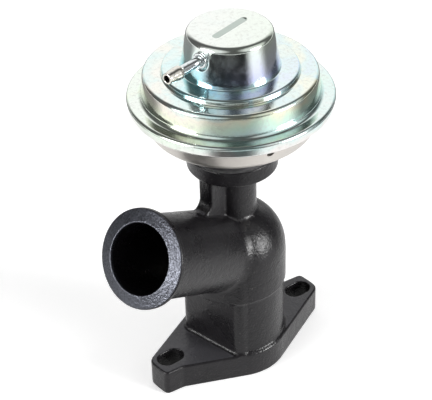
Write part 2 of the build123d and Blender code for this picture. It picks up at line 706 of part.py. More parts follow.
def lower_plate():
    """Support plate under the diaphragm, with its edge turned down."""
    return sheet(
        [
            (STEM_SPIGOT_R + PLATE_GAP, DIAPHRAGM_Z, 0),
            (LOWER_PLATE_R, DIAPHRAGM_Z, 1.5 * PLATE),
            (LOWER_PLATE_R + PLATE / 2, STACK_Z - PLATE / 2, 0),
        ],
        PLATE,
        -1,
    )


def spring_cup():
    """Deep cup above the diaphragm that guides it and carries the spring."""
    return sheet(
        [
            (STEM_SPIGOT_R + PLATE_GAP, PISTON_Z, 0),
            (PISTON_R, PISTON_Z, 2 * PLATE),
            (PISTON_R, PISTON_RIM_Z, 0),
        ],
        PLATE,
        1,
    )


def stem_washer():
    return ring(STEM_WASHER_R, STEM_SPIGOT_R + PLATE_GAP, PISTON_FLOOR_Z, NUT_Z)


def stem_nut():
    """Hexagon nut with turned corners."""
    hexagon = extrude(RegularPolygon(NUT_ACROSS_FLATS / 2, 6, major_radius=False), NUT_HEIGHT)
    corner_r = NUT_ACROSS_FLATS / 3 ** 0.5
    chamfer_h = NUT_HEIGHT / 6
    turning = turned(
        (STEM_SPIGOT_R, 0, 0),
        (corner_r, 0, 0),
        (corner_r, NUT_HEIGHT - chamfer_h, 0),
        (corner_r - 2 * chamfer_h, NUT_HEIGHT, 0),
        (STEM_SPIGOT_R, NUT_HEIGHT, 0),
    )
    return Pos(0, 0, NUT_Z) * (hexagon & turning)


def spring_top_seat():
    """Ring under the cap that centres the spring's upper end."""
    collar_r = TOP_SEAT_BORE_R + SHEET
    return turned(
        (TOP_SEAT_BORE_R, TOP_SEAT_Z, 0),
        (TOP_SEAT_BORE_R, TOP_SEAT_Z - TOP_SEAT_COLLAR, 0),
        (collar_r, TOP_SEAT_Z - TOP_SEAT_COLLAR, 0),
        (collar_r, TOP_SEAT_Z - SHEET, 0),
        (TOP_SEAT_R, TOP_SEAT_Z - SHEET, 0),
        (TOP_SEAT_R, TOP_SEAT_Z, 0),
    )


def return_spring():
    """Coil spring between the spring cup's floor and the top seat."""
    low_z = PISTON_FLOOR_Z + SPRING_WIRE_R + SPRING_SEAT_GAP
    high_z = TOP_SEAT_Z - SHEET - SPRING_WIRE_R - SPRING_SEAT_GAP
    rise = high_z - low_z
    path = Helix(rise / SPRING_TURNS, rise, SPRING_R)
    wire = sweep(Plane(path @ 0, z_dir=path % 0) * Circle(SPRING_WIRE_R), path)
    return Pos(0, 0, low_z) * wire


# ---------------------------------------------------------------- write one file per piece
PIECES = {
    "valve_housing": valve_housing,
    "valve_seat": valve_seat,
    "guide_bush": guide_bush,
    "stem_seal": stem_seal,
    "seal_retainer": seal_retainer,
    "neck_gasket": neck_gasket,
    "mounting_plate": mounting_plate,
    "lower_cup": lower_cup,
    "cup_screws": cup_screws,
    "screw_washers": screw_washers,
    "upper_cover": upper_cover,
    "nipple_collar": nipple_collar,
    "vacuum_nipple": vacuum_nipple,
    "spring_top_seat": spring_top_seat,
    "return_spring": return_spring,
    "diaphragm": diaphragm,
    "valve_stem": valve_stem,
    "valve_head": valve_head,
    "heat_shield": heat_shield,
    "lower_plate": lower_plate,
    "spring_cup": spring_cup,
    "stem_washer": stem_washer,
    "stem_nut": stem_nut,
}

os.makedirs("parts", exist_ok=True)
for name, make in PIECES.items():
    export_step(make(), f"parts/{name}.step")
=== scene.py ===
"""Vacuum EGR valve: a black cast elbow housing under a bright plated diaphragm capsule.

Metres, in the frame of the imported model: +Z runs up the valve axis from the middle of the base
flange's bottom face, and the hose spigot leaves towards -Y, turned a little towards +X.
"""

import math

import bmesh
import bpy
import numpy as np
from mathutils import Matrix, Vector


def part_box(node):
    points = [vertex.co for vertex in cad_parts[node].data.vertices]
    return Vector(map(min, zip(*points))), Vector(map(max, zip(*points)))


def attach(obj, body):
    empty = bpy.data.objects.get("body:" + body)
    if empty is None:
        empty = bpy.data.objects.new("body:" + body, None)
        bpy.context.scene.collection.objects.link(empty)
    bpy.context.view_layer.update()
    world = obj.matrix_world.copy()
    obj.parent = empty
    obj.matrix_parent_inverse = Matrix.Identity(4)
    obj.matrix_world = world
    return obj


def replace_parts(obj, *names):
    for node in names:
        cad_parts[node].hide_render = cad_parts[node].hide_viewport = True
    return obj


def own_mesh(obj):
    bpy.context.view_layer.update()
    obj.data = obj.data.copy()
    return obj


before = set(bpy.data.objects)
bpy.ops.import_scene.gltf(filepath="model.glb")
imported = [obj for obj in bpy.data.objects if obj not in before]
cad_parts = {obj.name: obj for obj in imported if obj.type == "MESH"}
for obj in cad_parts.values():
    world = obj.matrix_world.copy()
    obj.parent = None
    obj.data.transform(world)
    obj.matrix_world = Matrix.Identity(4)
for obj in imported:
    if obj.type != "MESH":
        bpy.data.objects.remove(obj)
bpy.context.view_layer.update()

MM = 0.001

# ---------------------------------------------------------------- sizes, in millimetres
# Base flange and column
FLANGE_THICKNESS = 11.0
FLANGE_HUB_R = 20.7
FLANGE_EDGE_R = 0.9
FLANGE_FOOT_R = 0.6
BOLT_SPACING = 66.0
SLOT_WIDTH = 7.4
SLOT_LENGTH = 11.0
SLOT_EDGE_R = 0.4
EAR_END_MARGIN = 7.8
EAR_FLARE = 24.9
EAR_HEEL_X = 6.9
EAR_HEEL_LENGTH = 7.8
EAR_SOFT_CORNER_R = 4.5
EAR_HEEL_CORNER_R = 2.0
EAR_KNEE_R = 3.0
COLUMN_FRONT = 15.4
COLUMN_HALF_WIDTH = 15.5
COLUMN_CORNER_R = 4.0
COLUMN_CREASE = 0.5
COLUMN_FOOT_FILLET = 1.5
BARREL_R = 19.5

# Elbow, spigot, neck and web
SPIGOT_AZIMUTH = 12.0
SPIGOT_SLOPE = 27.0
ELBOW_Z = 49.4
ELBOW_R = 20.1
ELBOW_STRAIGHT = 3.8
ELBOW_BLEND = 1.2
SKIRT_Z = 37.0
SKIRT_EDGE_R = 0.4
CHAMBER_R = 16.8
SPIGOT_LENGTH = 59.9
SPIGOT_R = 16.0
SPIGOT_BORE_R = 13.15
BEAD_R = 18.5
BEAD_BAND = 1.8
BEAD_FACE_SETBACK = 1.3
BEAD_BACK_TAPER = 2.0
BEAD_BACK_R = 1.2
BEAD_EDGE_R = 0.6
BORE_EDGE_R = 0.5
SPIGOT_ROOT_FILLET = 1.4
NECK_R = 9.0
NECK_ROOT_FILLET = 1.1
NECK_TOP_Z = 96.5
CAPSULE_FLANGE_R = 17.3
CAPSULE_FLANGE_HEIGHT = 6.1
CAPSULE_FLANGE_UNDERCUT = 3.4
CAPSULE_FLANGE_FOOT_R = 1.0
CAPSULE_FLANGE_EDGE_R = 0.3
WEB_REACH = 16.3
WEB_THICKNESS = 6.4
WEB_CORNER_R = 1.2
WEB_ROOT_FILLET = 3.5
WEB_SIDE_FILLET = 0.9
PORT_R = 11.5
PORT_RELIEF = 0.5
SEAT_Z = 26.0
SEAT_OUTER_R = 13.0
BUSH_R = 5.0
SEAL_POCKET_R = 8.0
SEAL_POCKET_DEPTH = 6.2

# Capsule
SHEET = 1.0
GASKET_THICKNESS = 0.8
MOUNT_PLATE_THICKNESS = 3.4
CUP_CENTRE_HOLE_R = 8.6
CUP_FLOOR_R = 18.3
CUP_SHOULDER_R = 30.8
CUP_SHOULDER_RISE = 7.4
CUP_MOUTH_R = 34.8
CUP_BEND_R = 3.0
CAPSULE_DEPTH = 21.0
VENT_AZIMUTH = 76.0
VENT_R = 1.4
VENT_RISE = 13.2
VENT_DRILL_REACH = 3.0
RIM_R = 38.3
RIM_LIP_R = 35.6
RIM_DRAFT = 0.6
RIM_HEIGHT = 4.6
CLAMP_GAP = 0.15
DRAW_R = 1.15
DRUM_FOOT_R = 32.9
DRUM_TOP_R = 31.9
DRUM_HEIGHT = 8.8
DRUM_EDGE_R = 1.6
DRUM_COVE_R = 1.8
LEDGE_R = 25.3
PLATEAU_R = 24.9
PLATEAU_STEP = 1.9
CAP_FOOT_R = 18.2
CAP_TOP_R = 15.5
CAP_HEIGHT = 15.2
CAP_EDGE_R = 2.4
KEY_LENGTH = 18.0
KEY_WIDTH = 3.3
KEY_DEPTH = 0.6
KEY_WALL = 0.35
NIPPLE_RISE = 9.3
NIPPLE_SLOPE = 3.0
NIPPLE_R = 1.8
NIPPLE_BORE_R = 1.3
NIPPLE_LENGTH = 17.0
NIPPLE_BARB_R = 2.5
NIPPLE_TIP_R = 2.0
NIPPLE_BARB_LENGTH = 6.6
NIPPLE_ROOT_DEPTH = 2.0        # tube inside the cap's wall
NIPPLE_FLARE_R = 0.6
NIPPLE_BARB_EDGE_R = 0.4
NIPPLE_TIP_EDGE_R = 0.3
NIPPLE_MOUTH_EDGE_R = 0.15
COLLAR_R = 3.0
COLLAR_THICKNESS = 0.9
NIPPLE_FLAT_DEPTH = 0.5
NIPPLE_FLAT_R = 3.2
NIPPLE_FLAT_WALL = 0.5

# Diaphragm and spring
RUBBER = 1.5
DIAPHRAGM_BORE_R = 2.5
DIAPHRAGM_TROUGH_R = 24.6
DIAPHRAGM_RISE = 7.4           # above the cup's underside
SPRING_R = 12.4
SPRING_WIRE_R = 0.9
SPRING_TURNS = 5.5
SPRING_FOOT_RISE = 10.1
SPRING_SEAT_GAP = 0.02

# Fineness of the meshes
FIELD_STEP, QUICK_FIELD_STEP = 0.5, 1.0
COVER_SEGMENTS, CUP_SEGMENTS, QUICK_SEGMENTS = 320, 288, 96
CAP_STEP, COVER_STEP, CUP_STEP = 0.35, 0.6, 0.8
SMALL_SEGMENTS, SMALL_STEP = 96, 0.5
DRILL_SEGMENTS = 48
SPRING_RINGS, SPRING_SIDES = 352, 20
CLEAR_OF_PLATEAU = 1.0         # what lies this far above the plateau belongs to the cap

# Sizes that follow
CUP_Z = NECK_TOP_Z + GASKET_THICKNESS + MOUNT_PLATE_THICKNESS
RIM_TOP_Z = CUP_Z + CAPSULE_DEPTH
RIM_BOTTOM_Z = RIM_TOP_Z - RIM_HEIGHT
CUP_FLANGE_Z = RIM_BOTTOM_Z + SHEET
CLAMP_Z = CUP_FLANGE_Z + SHEET
CLAMP_R = RIM_R - RIM_DRAFT - SHEET - CLAMP_GAP
LEDGE_Z = RIM_TOP_Z + DRUM_HEIGHT
PLATEAU_Z = LEDGE_Z + PLATEAU_STEP
TOP_Z = PLATEAU_Z + CAP_HEIGHT
DOME_LOW_Z = ELBOW_Z - ELBOW_STRAIGHT / 2
DOME_HIGH_Z = ELBOW_Z + ELBOW_STRAIGHT / 2

# Directions: P runs along the spigot in plan, Q lies square to it, SPIGOT along its own axis
TURN = math.radians(SPIGOT_AZIMUTH)
SLOPE = math.radians(SPIGOT_SLOPE)
P = np.array([math.sin(TURN), -math.cos(TURN), 0.0])
Q = np.array([math.cos(TURN), math.sin(TURN), 0.0])
UP = np.array([0.0, 0.0, 1.0])
SPIGOT = P * math.cos(SLOPE) + UP * math.sin(SLOPE)
NIPPLE_TILT = math.radians(NIPPLE_SLOPE)
NIPPLE = P * math.cos(NIPPLE_TILT) + UP * math.sin(NIPPLE_TILT)
NIPPLE_WALL_R = CAP_FOOT_R + (CAP_TOP_R - CAP_FOOT_R) * NIPPLE_RISE / CAP_HEIGHT
NIPPLE_FLAT_X = NIPPLE_WALL_R - NIPPLE_FLAT_DEPTH
NIPPLE_ROOT = P * NIPPLE_FLAT_X + UP * (PLATEAU_Z + NIPPLE_RISE)


# ---------------------------------------------------------------- outlines
def rounded(corners, arc_step=6):
    """Polyline through (x, y, radius) corners, each rounded by an arc in steps of these degrees."""
    count = len(corners)
    line = []
    for i, (x, y, radius) in enumerate(corners):
        corner = Vector((x, y))
        before = Vector(corners[i - 1][:2]) - corner
        after = Vector(corners[(i + 1) % count][:2]) - corner
        if radius <= 0:
            line.append((x, y))
            continue
        half = before.angle(after) / 2
        reach = radius / math.tan(half)
        start = corner + before.normalized() * reach
        middle = (before.normalized() + after.normalized()).normalized()
        centre = corner + middle * radius / math.sin(half)
        turn = math.pi - 2 * half
        steps = max(2, math.ceil(math.degrees(turn) / arc_step))
        side = 1 if before.x * after.y - before.y * after.x < 0 else -1
        spoke = start - centre
        for k in range(steps + 1):
            angle = side * turn * k / steps
            across = Vector((
                spoke.x * math.cos(angle) - spoke.y * math.sin(angle),
                spoke.x * math.sin(angle) + spoke.y * math.cos(angle),
            ))
            line.append(tuple(centre + across))
    return line


def sheet_corners(corners, thickness, side):
    """Closed outline of a pressed sheet: its corners and their copy one thickness to one side."""
    steps = list(zip(corners, corners[1:]))
    angles = [math.atan2(b[1] - a[1], b[0] - a[0]) for a, b in steps]
    inner = []
    for (x, y, radius), a, b in zip(corners, [angles[0]] + angles, angles + [angles[-1]]):
        turn = (b - a + math.pi) % (2 * math.pi) - math.pi
        reach = side * thickness / math.cos(turn / 2)
        normal = a + turn / 2 + math.pi / 2
        grown = radius - thickness if turn * side > 0 else radius + thickness
        shift_x, shift_y = reach * math.cos(normal), reach * math.sin(normal)
        inner.append((x + shift_x, y + shift_y, grown if radius else 0))
    return list(corners) + inner[::-1]


def divided(line, step):
    """The closed polyline with no stretch longer than step(x, y)."""
    out = []
    for (x0, y0), (x1, y1) in zip(line, line[1:] + line[:1]):
        pieces = max(1, math.ceil(math.hypot(x1 - x0, y1 - y0) / step(x0, y0)))
        for k in range(pieces):
            out.append((x0 + (x1 - x0) * k / pieces, y0 + (y1 - y0) * k / pieces))
    return out


# ---------------------------------------------------------------- meshes
def new_mesh(name, points, faces):
    """Smooth-shaded object from points in millimetres."""
    mesh = bpy.data.meshes.new(name)
    mesh.from_pydata((np.asarray(points) * MM).tolist(), [], faces)
    tidy = bmesh.new()
    tidy.from_mesh(mesh)
    bmesh.ops.remove_doubles(tidy, verts=tidy.verts, dist=0.001 * MM)
    bmesh.ops.dissolve_degenerate(tidy, edges=tidy.edges, dist=0.0005 * MM)
    bmesh.ops.recalc_face_normals(tidy, faces=tidy.faces)
    tidy.to_mesh(mesh)
    tidy.free()
    mesh.polygons.foreach_set("use_smooth", [True] * len(mesh.polygons))
    piece = bpy.data.objects.new(name, mesh)
    bpy.context.scene.collection.objects.link(piece)
    return piece


def lathe_points(line, segments):
    """Closed (radius, height) polyline turned about the Z axis: points and faces."""
    line = np.array(line)
    angles = np.arange(segments) * 2 * math.pi / segments
    radius = np.maximum(line[:, 0], 0)[:, None]
    points = np.stack([
        radius * np.cos(angles), radius * np.sin(angles), np.repeat(line[:, 1:2], segments, 1)
    ], axis=-1).reshape(-1, 3)
    count = len(line)
    faces = []
    for i in range(count):
        j = (i + 1) % count
        for k in range(segments):
            m = (k + 1) % segments
            faces.append((i * segments + k, i * segments + m, j * segments + m, j * segments + k))
    return points, faces


def lathe(name, corners, segments=192, step=1.0, axis=UP, root=(0, 0, 0)):
    """Object turned from (radius, height, corner radius) triples about any axis."""
    points, faces = lathe_points(divided(rounded(corners), lambda x, y: step), segments)
    spin = np.array(Vector((0, 0, 1)).rotation_difference(Vector(axis)).to_matrix())
    return new_mesh(name, points @ spin.T + np.array(root), faces)


def sharp_edges(piece, degrees):
    """Edges that turn by more than this many degrees stay crisp."""
    for polygon in piece.data.polygons:
        polygon.use_smooth = True
    piece.data.set_sharp_from_angle(angle=math.radians(degrees))


# ---------------------------------------------------------------- distance fields
def join(a, b, fillet):
    """Union of two distance fields, with a round fillet."""
    corner = np.hypot(np.maximum(fillet - a, 0), np.maximum(fillet - b, 0))
    return np.maximum(fillet, np.minimum(a, b)) - corner


def cut(a, b, edge):
    """Field a without field b, with rounded edges."""
    corner = np.hypot(np.maximum(edge + a, 0), np.maximum(edge - b, 0))
    return np.minimum(-edge, np.maximum(a, -b)) + corner


def common(a, b, edge):
    """Where fields a and b overlap, with rounded edges."""
    return cut(a, -b, edge)


def outline_field(line, x, y):
    """Signed distance to a closed polyline, negative inside."""
    distance = np.full(np.broadcast(x, y).shape, 1e9, np.float32)
    inside = np.zeros(distance.shape, bool)
    for (x0, y0), (x1, y1) in zip(line, line[1:] + line[:1]):
        dx, dy = x1 - x0, y1 - y0
        length = dx * dx + dy * dy
        if length == 0:
            continue
        along = np.clip(((x - x0) * dx + (y - y0) * dy) / length, 0, 1)
        distance = np.minimum(distance, (x - x0 - along * dx) ** 2 + (y - y0 - along * dy) ** 2)
        if dy:
            crosses = ((y0 <= y) != (y1 <= y)) & (x < x0 + (y - y0) * dx / dy)
            inside ^= crosses
    distance = np.sqrt(distance)
    return np.where(inside, -distance, distance)


def field_surface(name, field, low, high, step):
    """Mesh of a field's zero surface: one point per crossed cell, moved onto the surface."""
    block = 4
    count = np.ceil((np.array(high) - low) / (step * block)).astype(int)
    centres = [low[i] + (np.arange(count[i]) + 0.5) * step * block for i in range(3)]
    values = field(*[axis.ravel() for axis in np.meshgrid(*centres, indexing="ij")]).reshape(count)
    near = np.abs(values) < step * block
    for i in range(3):
        values = values.repeat(block, i)
        near = near.repeat(block, i)
    where = np.nonzero(near)
    places = [low[i] + (where[i] + 0.5) * step for i in range(3)]
    values[where] = field(*places)
    solid = values < 0

    shape = np.array(values.shape) - 1
    corner = [(a, b, c) for a in (0, 1) for b in (0, 1) for c in (0, 1)]

    def shifted(array, offset):
        return array[tuple(slice(offset[i], offset[i] + shape[i]) for i in range(3))]

    filled = sum(shifted(solid, c).astype(np.int8) for c in corner)
    crossed = (filled > 0) & (filled < 8)
    index = np.full(shape, -1, np.int64)
    index[crossed] = np.arange(crossed.sum())
    total = np.zeros((crossed.sum(), 3))
    weight = np.zeros(crossed.sum())
    for a in corner:
        for i in range(3):
            if a[i]:
                continue
            b = tuple(1 if k == i else a[k] for k in range(3))
            va, vb = shifted(values, a)[crossed], shifted(values, b)[crossed]
            hit = (va < 0) != (vb < 0)
            share = np.where(hit, va / np.where(hit, va - vb, 1), 0)
            for k in range(3):
                total[:, k] += hit * (a[k] + (share if k == i else 0))
            weight += hit
    cells = np.stack(np.nonzero(crossed), axis=1)
    points = np.array(low) + (cells + total / weight[:, None] + 0.5) * step

    small = step / 20
    for _ in range(3):
        x, y, z = points.T
        value = field(x, y, z)
        slope = np.stack([
            field(x + small, y, z) - value,
            field(x, y + small, z) - value,
            field(x, y, z + small) - value,
        ], axis=1) / small
        size = np.maximum((slope ** 2).sum(1), 0.05)
        move = -(value / size)[:, None] * slope
        reach = np.maximum(np.linalg.norm(move, axis=1) / (step / 2), 1)
        points = points + move / reach[:, None]

    faces = []
    for i in range(3):
        j, k = (i + 1) % 3, (i + 2) % 3
        inner = [slice(1, shape[n]) for n in range(3)]
        inner[i] = slice(0, shape[i])
        ahead = list(inner)
        ahead[i] = slice(1, shape[i] + 1)
        here, there = solid[tuple(inner)], solid[tuple(ahead)]
        found = np.stack(np.nonzero(here != there), axis=1)
        for n in (j, k):
            found[:, n] += 1
        quad = []
        for step_j, step_k in ((0, 0), (1, 0), (1, 1), (0, 1)):
            cell = found.copy()
            cell[:, j] -= step_j
            cell[:, k] -= step_k
            quad.append(index[tuple(cell.T)])
        faces.append(np.stack(quad, axis=1))
    faces = np.concatenate(faces)
    faces = faces[(faces >= 0).all(1)]
    return new_mesh(name, points, faces.tolist())


def field_normals(piece, field, reach=0.05):
    """Shading normals of the exact field, so that small fillets stay smooth."""
    points = np.empty(len(piece.data.vertices) * 3, np.float32)
    piece.data.vertices.foreach_get("co", points)
    x, y, z = points.reshape(-1, 3).T / MM
    slope = np.stack([
        field(x + reach, y, z) - field(x - reach, y, z),
        field(x, y + reach, z) - field(x, y - reach, z),
        field(x, y, z + reach) - field(x, y, z - reach),
    ], axis=1)
    slope /= np.maximum(np.linalg.norm(slope, axis=1), 1e-9)[:, None]
    piece.data.normals_split_custom_set_from_vertices(slope.tolist())


# ---------------------------------------------------------------- cast housing
BEYOND_AXIS = -40.0


def arc_corners(start, end, radius, steps=10):
    """Points inside an arc about the origin, as corners with no rounding."""
    angles = np.linspace(start, end, steps + 2)[1:-1]
    return [(radius * math.cos(a), radius * math.sin(a), 0) for a in angles]


def flange_line():
    """Outline of the two-eared base flange."""
    flare = math.radians(EAR_FLARE)
    end_r = BOLT_SPACING / 2 + EAR_END_MARGIN
    run = math.sqrt(end_r ** 2 - FLANGE_HUB_R ** 2)
    hub_x, hub_y = FLANGE_HUB_R * math.cos(flare), -FLANGE_HUB_R * math.sin(flare)
    soft_x, soft_y = -hub_x + run * math.sin(flare), hub_y - run * math.cos(flare)
    heel_y = -math.sqrt(end_r ** 2 - EAR_HEEL_X ** 2)
    knee_y = heel_y + EAR_HEEL_LENGTH
    knee_x = (FLANGE_HUB_R + knee_y * math.sin(flare)) / math.cos(flare)
    end_arc = arc_corners(math.atan2(soft_y, soft_x), math.atan2(heel_y, EAR_HEEL_X), end_r)
    half = [(soft_x, soft_y, EAR_SOFT_CORNER_R), *end_arc[2:-1]]
    half.append((EAR_HEEL_X, heel_y, EAR_HEEL_CORNER_R))
    half += [(knee_x, knee_y, EAR_KNEE_R), (hub_x, hub_y, 0)]
    half += arc_corners(-flare, flare, FLANGE_HUB_R)
    half.append((hub_x, -hub_y, 0))
    return rounded(half + [(-x, -y, radius) for x, y, radius in half])


FLANGE_LINE = flange_line()
COLUMN_LINE = rounded([
    (COLUMN_FRONT, -COLUMN_HALF_WIDTH, COLUMN_CORNER_R),
    (COLUMN_FRONT, COLUMN_HALF_WIDTH, COLUMN_CORNER_R),
    (0, COLUMN_HALF_WIDTH, 0),
    (0, -COLUMN_HALF_WIDTH, 0),
])
BARREL_FRONT = COLUMN_FRONT - COLUMN_CORNER_R / 2
NECK_LINE = rounded([
    (BEYOND_AXIS, ELBOW_Z, 0),
    (NECK_R, ELBOW_Z, 0),
    (NECK_R, NECK_TOP_Z - CAPSULE_FLANGE_HEIGHT - CAPSULE_FLANGE_UNDERCUT, NECK_ROOT_FILLET),
    (CAPSULE_FLANGE_R, NECK_TOP_Z - CAPSULE_FLANGE_HEIGHT, CAPSULE_FLANGE_FOOT_R),
    (CAPSULE_FLANGE_R, NECK_TOP_Z, CAPSULE_FLANGE_EDGE_R),
    (BEYOND_AXIS, NECK_TOP_Z, 0),
])
RIDGE_Z = ELBOW_Z + SPIGOT_R / math.cos(SLOPE)
WEB_RUN_OUT = WEB_REACH + 2 * WEB_ROOT_FILLET
WEB_LINE = rounded([
    (0, ELBOW_Z, 0),
    (WEB_RUN_OUT, ELBOW_Z, 0),
    (WEB_RUN_OUT, RIDGE_Z + WEB_RUN_OUT * math.tan(SLOPE), 0),
    (WEB_REACH, RIDGE_Z + WEB_REACH * math.tan(SLOPE), WEB_ROOT_FILLET),
    (WEB_REACH, NECK_TOP_Z - CAPSULE_FLANGE_HEIGHT / 2, 0),
    (0, NECK_TOP_Z - CAPSULE_FLANGE_HEIGHT / 2, 0),
])
SPIGOT_FACE = SPIGOT_LENGTH - BEAD_FACE_SETBACK
SPIGOT_LINE = rounded([
    (BEYOND_AXIS, 0, 0),
    (SPIGOT_R, 0, 0),
    (SPIGOT_R, SPIGOT_FACE - BEAD_BAND - BEAD_BACK_TAPER, BEAD_BACK_R),
    (BEAD_R, SPIGOT_FACE - BEAD_BAND, BEAD_EDGE_R),
    (BEAD_R, SPIGOT_FACE, BEAD_EDGE_R),
    (SPIGOT_BORE_R, SPIGOT_LENGTH, 0),
    (BEYOND_AXIS, SPIGOT_LENGTH, 0),
])


def pill(around, z, radius):
    """Distance to the elbow's pill: a short cylinder between two domes."""
    return np.hypot(around, z - np.clip(z, DOME_LOW_Z, DOME_HIGH_Z)) - radius


def housing_field(x, y, z):
    """Signed distance to the casting."""
    around = np.hypot(x, y)
    along_p = x * P[0] + y * P[1]
    along_q = x * Q[0] + y * Q[1]
    reach = along_p * math.cos(SLOPE) + (z - ELBOW_Z) * math.sin(SLOPE)
    lift = (z - ELBOW_Z) * math.cos(SLOPE) - along_p * math.sin(SLOPE)
    off_axis = np.hypot(along_q, lift)
    in_flange = outline_field(FLANGE_LINE, x, y)

    plate = common(in_flange, z - FLANGE_THICKNESS, FLANGE_EDGE_R)
    barrel = np.maximum(around - BARREL_R, along_p - BARREL_FRONT)
    column = join(barrel, outline_field(COLUMN_LINE, along_p, along_q), COLUMN_CREASE)
    column = np.maximum(column, z - ELBOW_Z)
    skirt = common(np.maximum(around - ELBOW_R, z - ELBOW_Z), SKIRT_Z - z, SKIRT_EDGE_R)
    body = join(column, np.minimum(skirt, pill(around, z, ELBOW_R)), ELBOW_BLEND)
    body = join(body, outline_field(SPIGOT_LINE, off_axis, reach), SPIGOT_ROOT_FILLET)
    web_side = np.abs(along_q) - WEB_THICKNESS / 2
    web = common(outline_field(WEB_LINE, along_p, z), web_side, WEB_CORNER_R)
    body = join(body, outline_field(NECK_LINE, around, z), NECK_ROOT_FILLET)
    body = join(body, web, WEB_SIDE_FILLET)
    body = join(body, plate, COLUMN_FOOT_FILLET)
    low = z < FLANGE_THICKNESS + COLUMN_FOOT_FILLET
    body = np.where(low, np.maximum(body, in_flange), body)

    past_slot = np.abs(np.abs(y) - BOLT_SPACING / 2) - (SLOT_LENGTH - SLOT_WIDTH) / 2
    slot = np.hypot(x, np.maximum(past_slot, 0))
    chamber = pill(around, z, CHAMBER_R)
    bore = np.maximum(off_axis - SPIGOT_BORE_R, -reach)
    below_seat = np.maximum(PORT_R, PORT_R + z - SEAT_Z + PORT_RELIEF)
    port_r = np.where(z < SEAT_Z, below_seat, SEAT_OUTER_R)
    port = np.maximum(around - port_r, z - ELBOW_Z)
    slot = np.maximum(slot - SLOT_WIDTH / 2, z - 2 * FLANGE_THICKNESS)
    body = cut(body, slot, SLOT_EDGE_R)
    body = cut(body, np.minimum(chamber, bore), BORE_EDGE_R)
    body = np.maximum(body, -port)
    guide = np.maximum(around - BUSH_R, ELBOW_Z - z)
    pocket = np.maximum(around - SEAL_POCKET_R, NECK_TOP_Z - SEAL_POCKET_DEPTH - z)
    body = np.maximum(body, -np.minimum(guide, pocket))
    return common(body, -z, FLANGE_FOOT_R)


def cast_housing():
    """The casting, as a mesh of its distance field."""
    low, high = (np.array(corner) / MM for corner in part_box("valve_housing"))
    step = FIELD_STEP
    margin = 2 * step
    piece = field_surface("cast_housing", housing_field, low - margin, high + margin, step)
    field_normals(piece, housing_field)
    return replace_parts(piece, "valve_housing")


# ---------------------------------------------------------------- capsule
def edge_ramp(distance, width):
    """1 inside, 0 outside, with a smooth step of this width beyond distance 0."""
    share = np.clip(1 - distance / width, 0, 1)
    return share * share * (3 - 2 * share)


def cap_wall_r(z):
    """Outside radius of the cap's tapered wall."""
    return CAP_FOOT_R + (CAP_TOP_R - CAP_FOOT_R) * (z - PLATEAU_Z) / CAP_HEIGHT


def drilled(piece, name, radius, centre, axis, length):
    """The piece with a round hole cut through it."""
    outline = [(0, -length, 0), (radius, -length, 0), (radius, length, 0), (0, length, 0)]
    drill = lathe(name, outline, DRILL_SEGMENTS, length, axis, centre)
    change = piece.modifiers.new(name, "BOOLEAN")
    change.operation = "DIFFERENCE"
    change.solver = "EXACT"
    change.object = drill
    bpy.context.view_layer.objects.active = piece
    with bpy.context.temp_override(object=piece, active_object=piece):
        bpy.ops.object.modifier_apply(modifier=name)
    bpy.data.objects.remove(drill)
    return piece


def pressed_cover():
    """Cap, plateau, ledge, drum and crimped rim, with the key mark and the nipple's flat."""
    outside = [
        (0, TOP_Z, 0),
        (CAP_TOP_R, TOP_Z, CAP_EDGE_R),
        (CAP_FOOT_R, PLATEAU_Z, SHEET / 2),
        (PLATEAU_R, PLATEAU_Z, DRAW_R),
        (LEDGE_R, LEDGE_Z, SHEET / 2),
        (DRUM_TOP_R, LEDGE_Z, DRUM_EDGE_R),
        (DRUM_FOOT_R, RIM_TOP_Z, DRUM_COVE_R),
        (RIM_R, RIM_TOP_Z, DRAW_R),
        (RIM_R - RIM_DRAFT, RIM_BOTTOM_Z, DRAW_R),
        (RIM_LIP_R, RIM_BOTTOM_Z, 0),
    ]

    def step(x, y):
        on_cap = y > PLATEAU_Z + CLEAR_OF_PLATEAU and x < CAP_FOOT_R
        return CAP_STEP if on_cap else COVER_STEP

    line = divided(rounded(sheet_corners(outside, SHEET, -1)), step)
    points, faces = lathe_points(line, COVER_SEGMENTS)

    along, across, height = points @ P, points @ Q, points[:, 2]
    past_key = np.maximum(np.abs(along) - (KEY_LENGTH - KEY_WIDTH) / 2, 0)
    groove = np.hypot(past_key, across) - KEY_WIDTH / 2
    on_top = height > TOP_Z - SHEET - 0.01
    floor = KEY_DEPTH * np.clip(0.5 + across / KEY_WIDTH, 0, 1)
    points[:, 2] -= on_top * floor * edge_ramp(groove + KEY_WALL, KEY_WALL)

    from_root = points - NIPPLE_ROOT
    out = from_root @ NIPPLE
    off_axis = np.linalg.norm(from_root - out[:, None] * NIPPLE, axis=1)
    wall = np.hypot(along, across) > cap_wall_r(height) - SHEET / 2
    flat = np.where(wall, 0, -SHEET)
    near = (along > 0) & (height > PLATEAU_Z + CLEAR_OF_PLATEAU)
    push = near * np.maximum(out - flat, 0) * edge_ramp(off_axis - NIPPLE_FLAT_R, NIPPLE_FLAT_WALL)
    points -= push[:, None] * NIPPLE

    piece = new_mesh("pressed_cover", points, faces)
    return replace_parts(piece, "upper_cover")


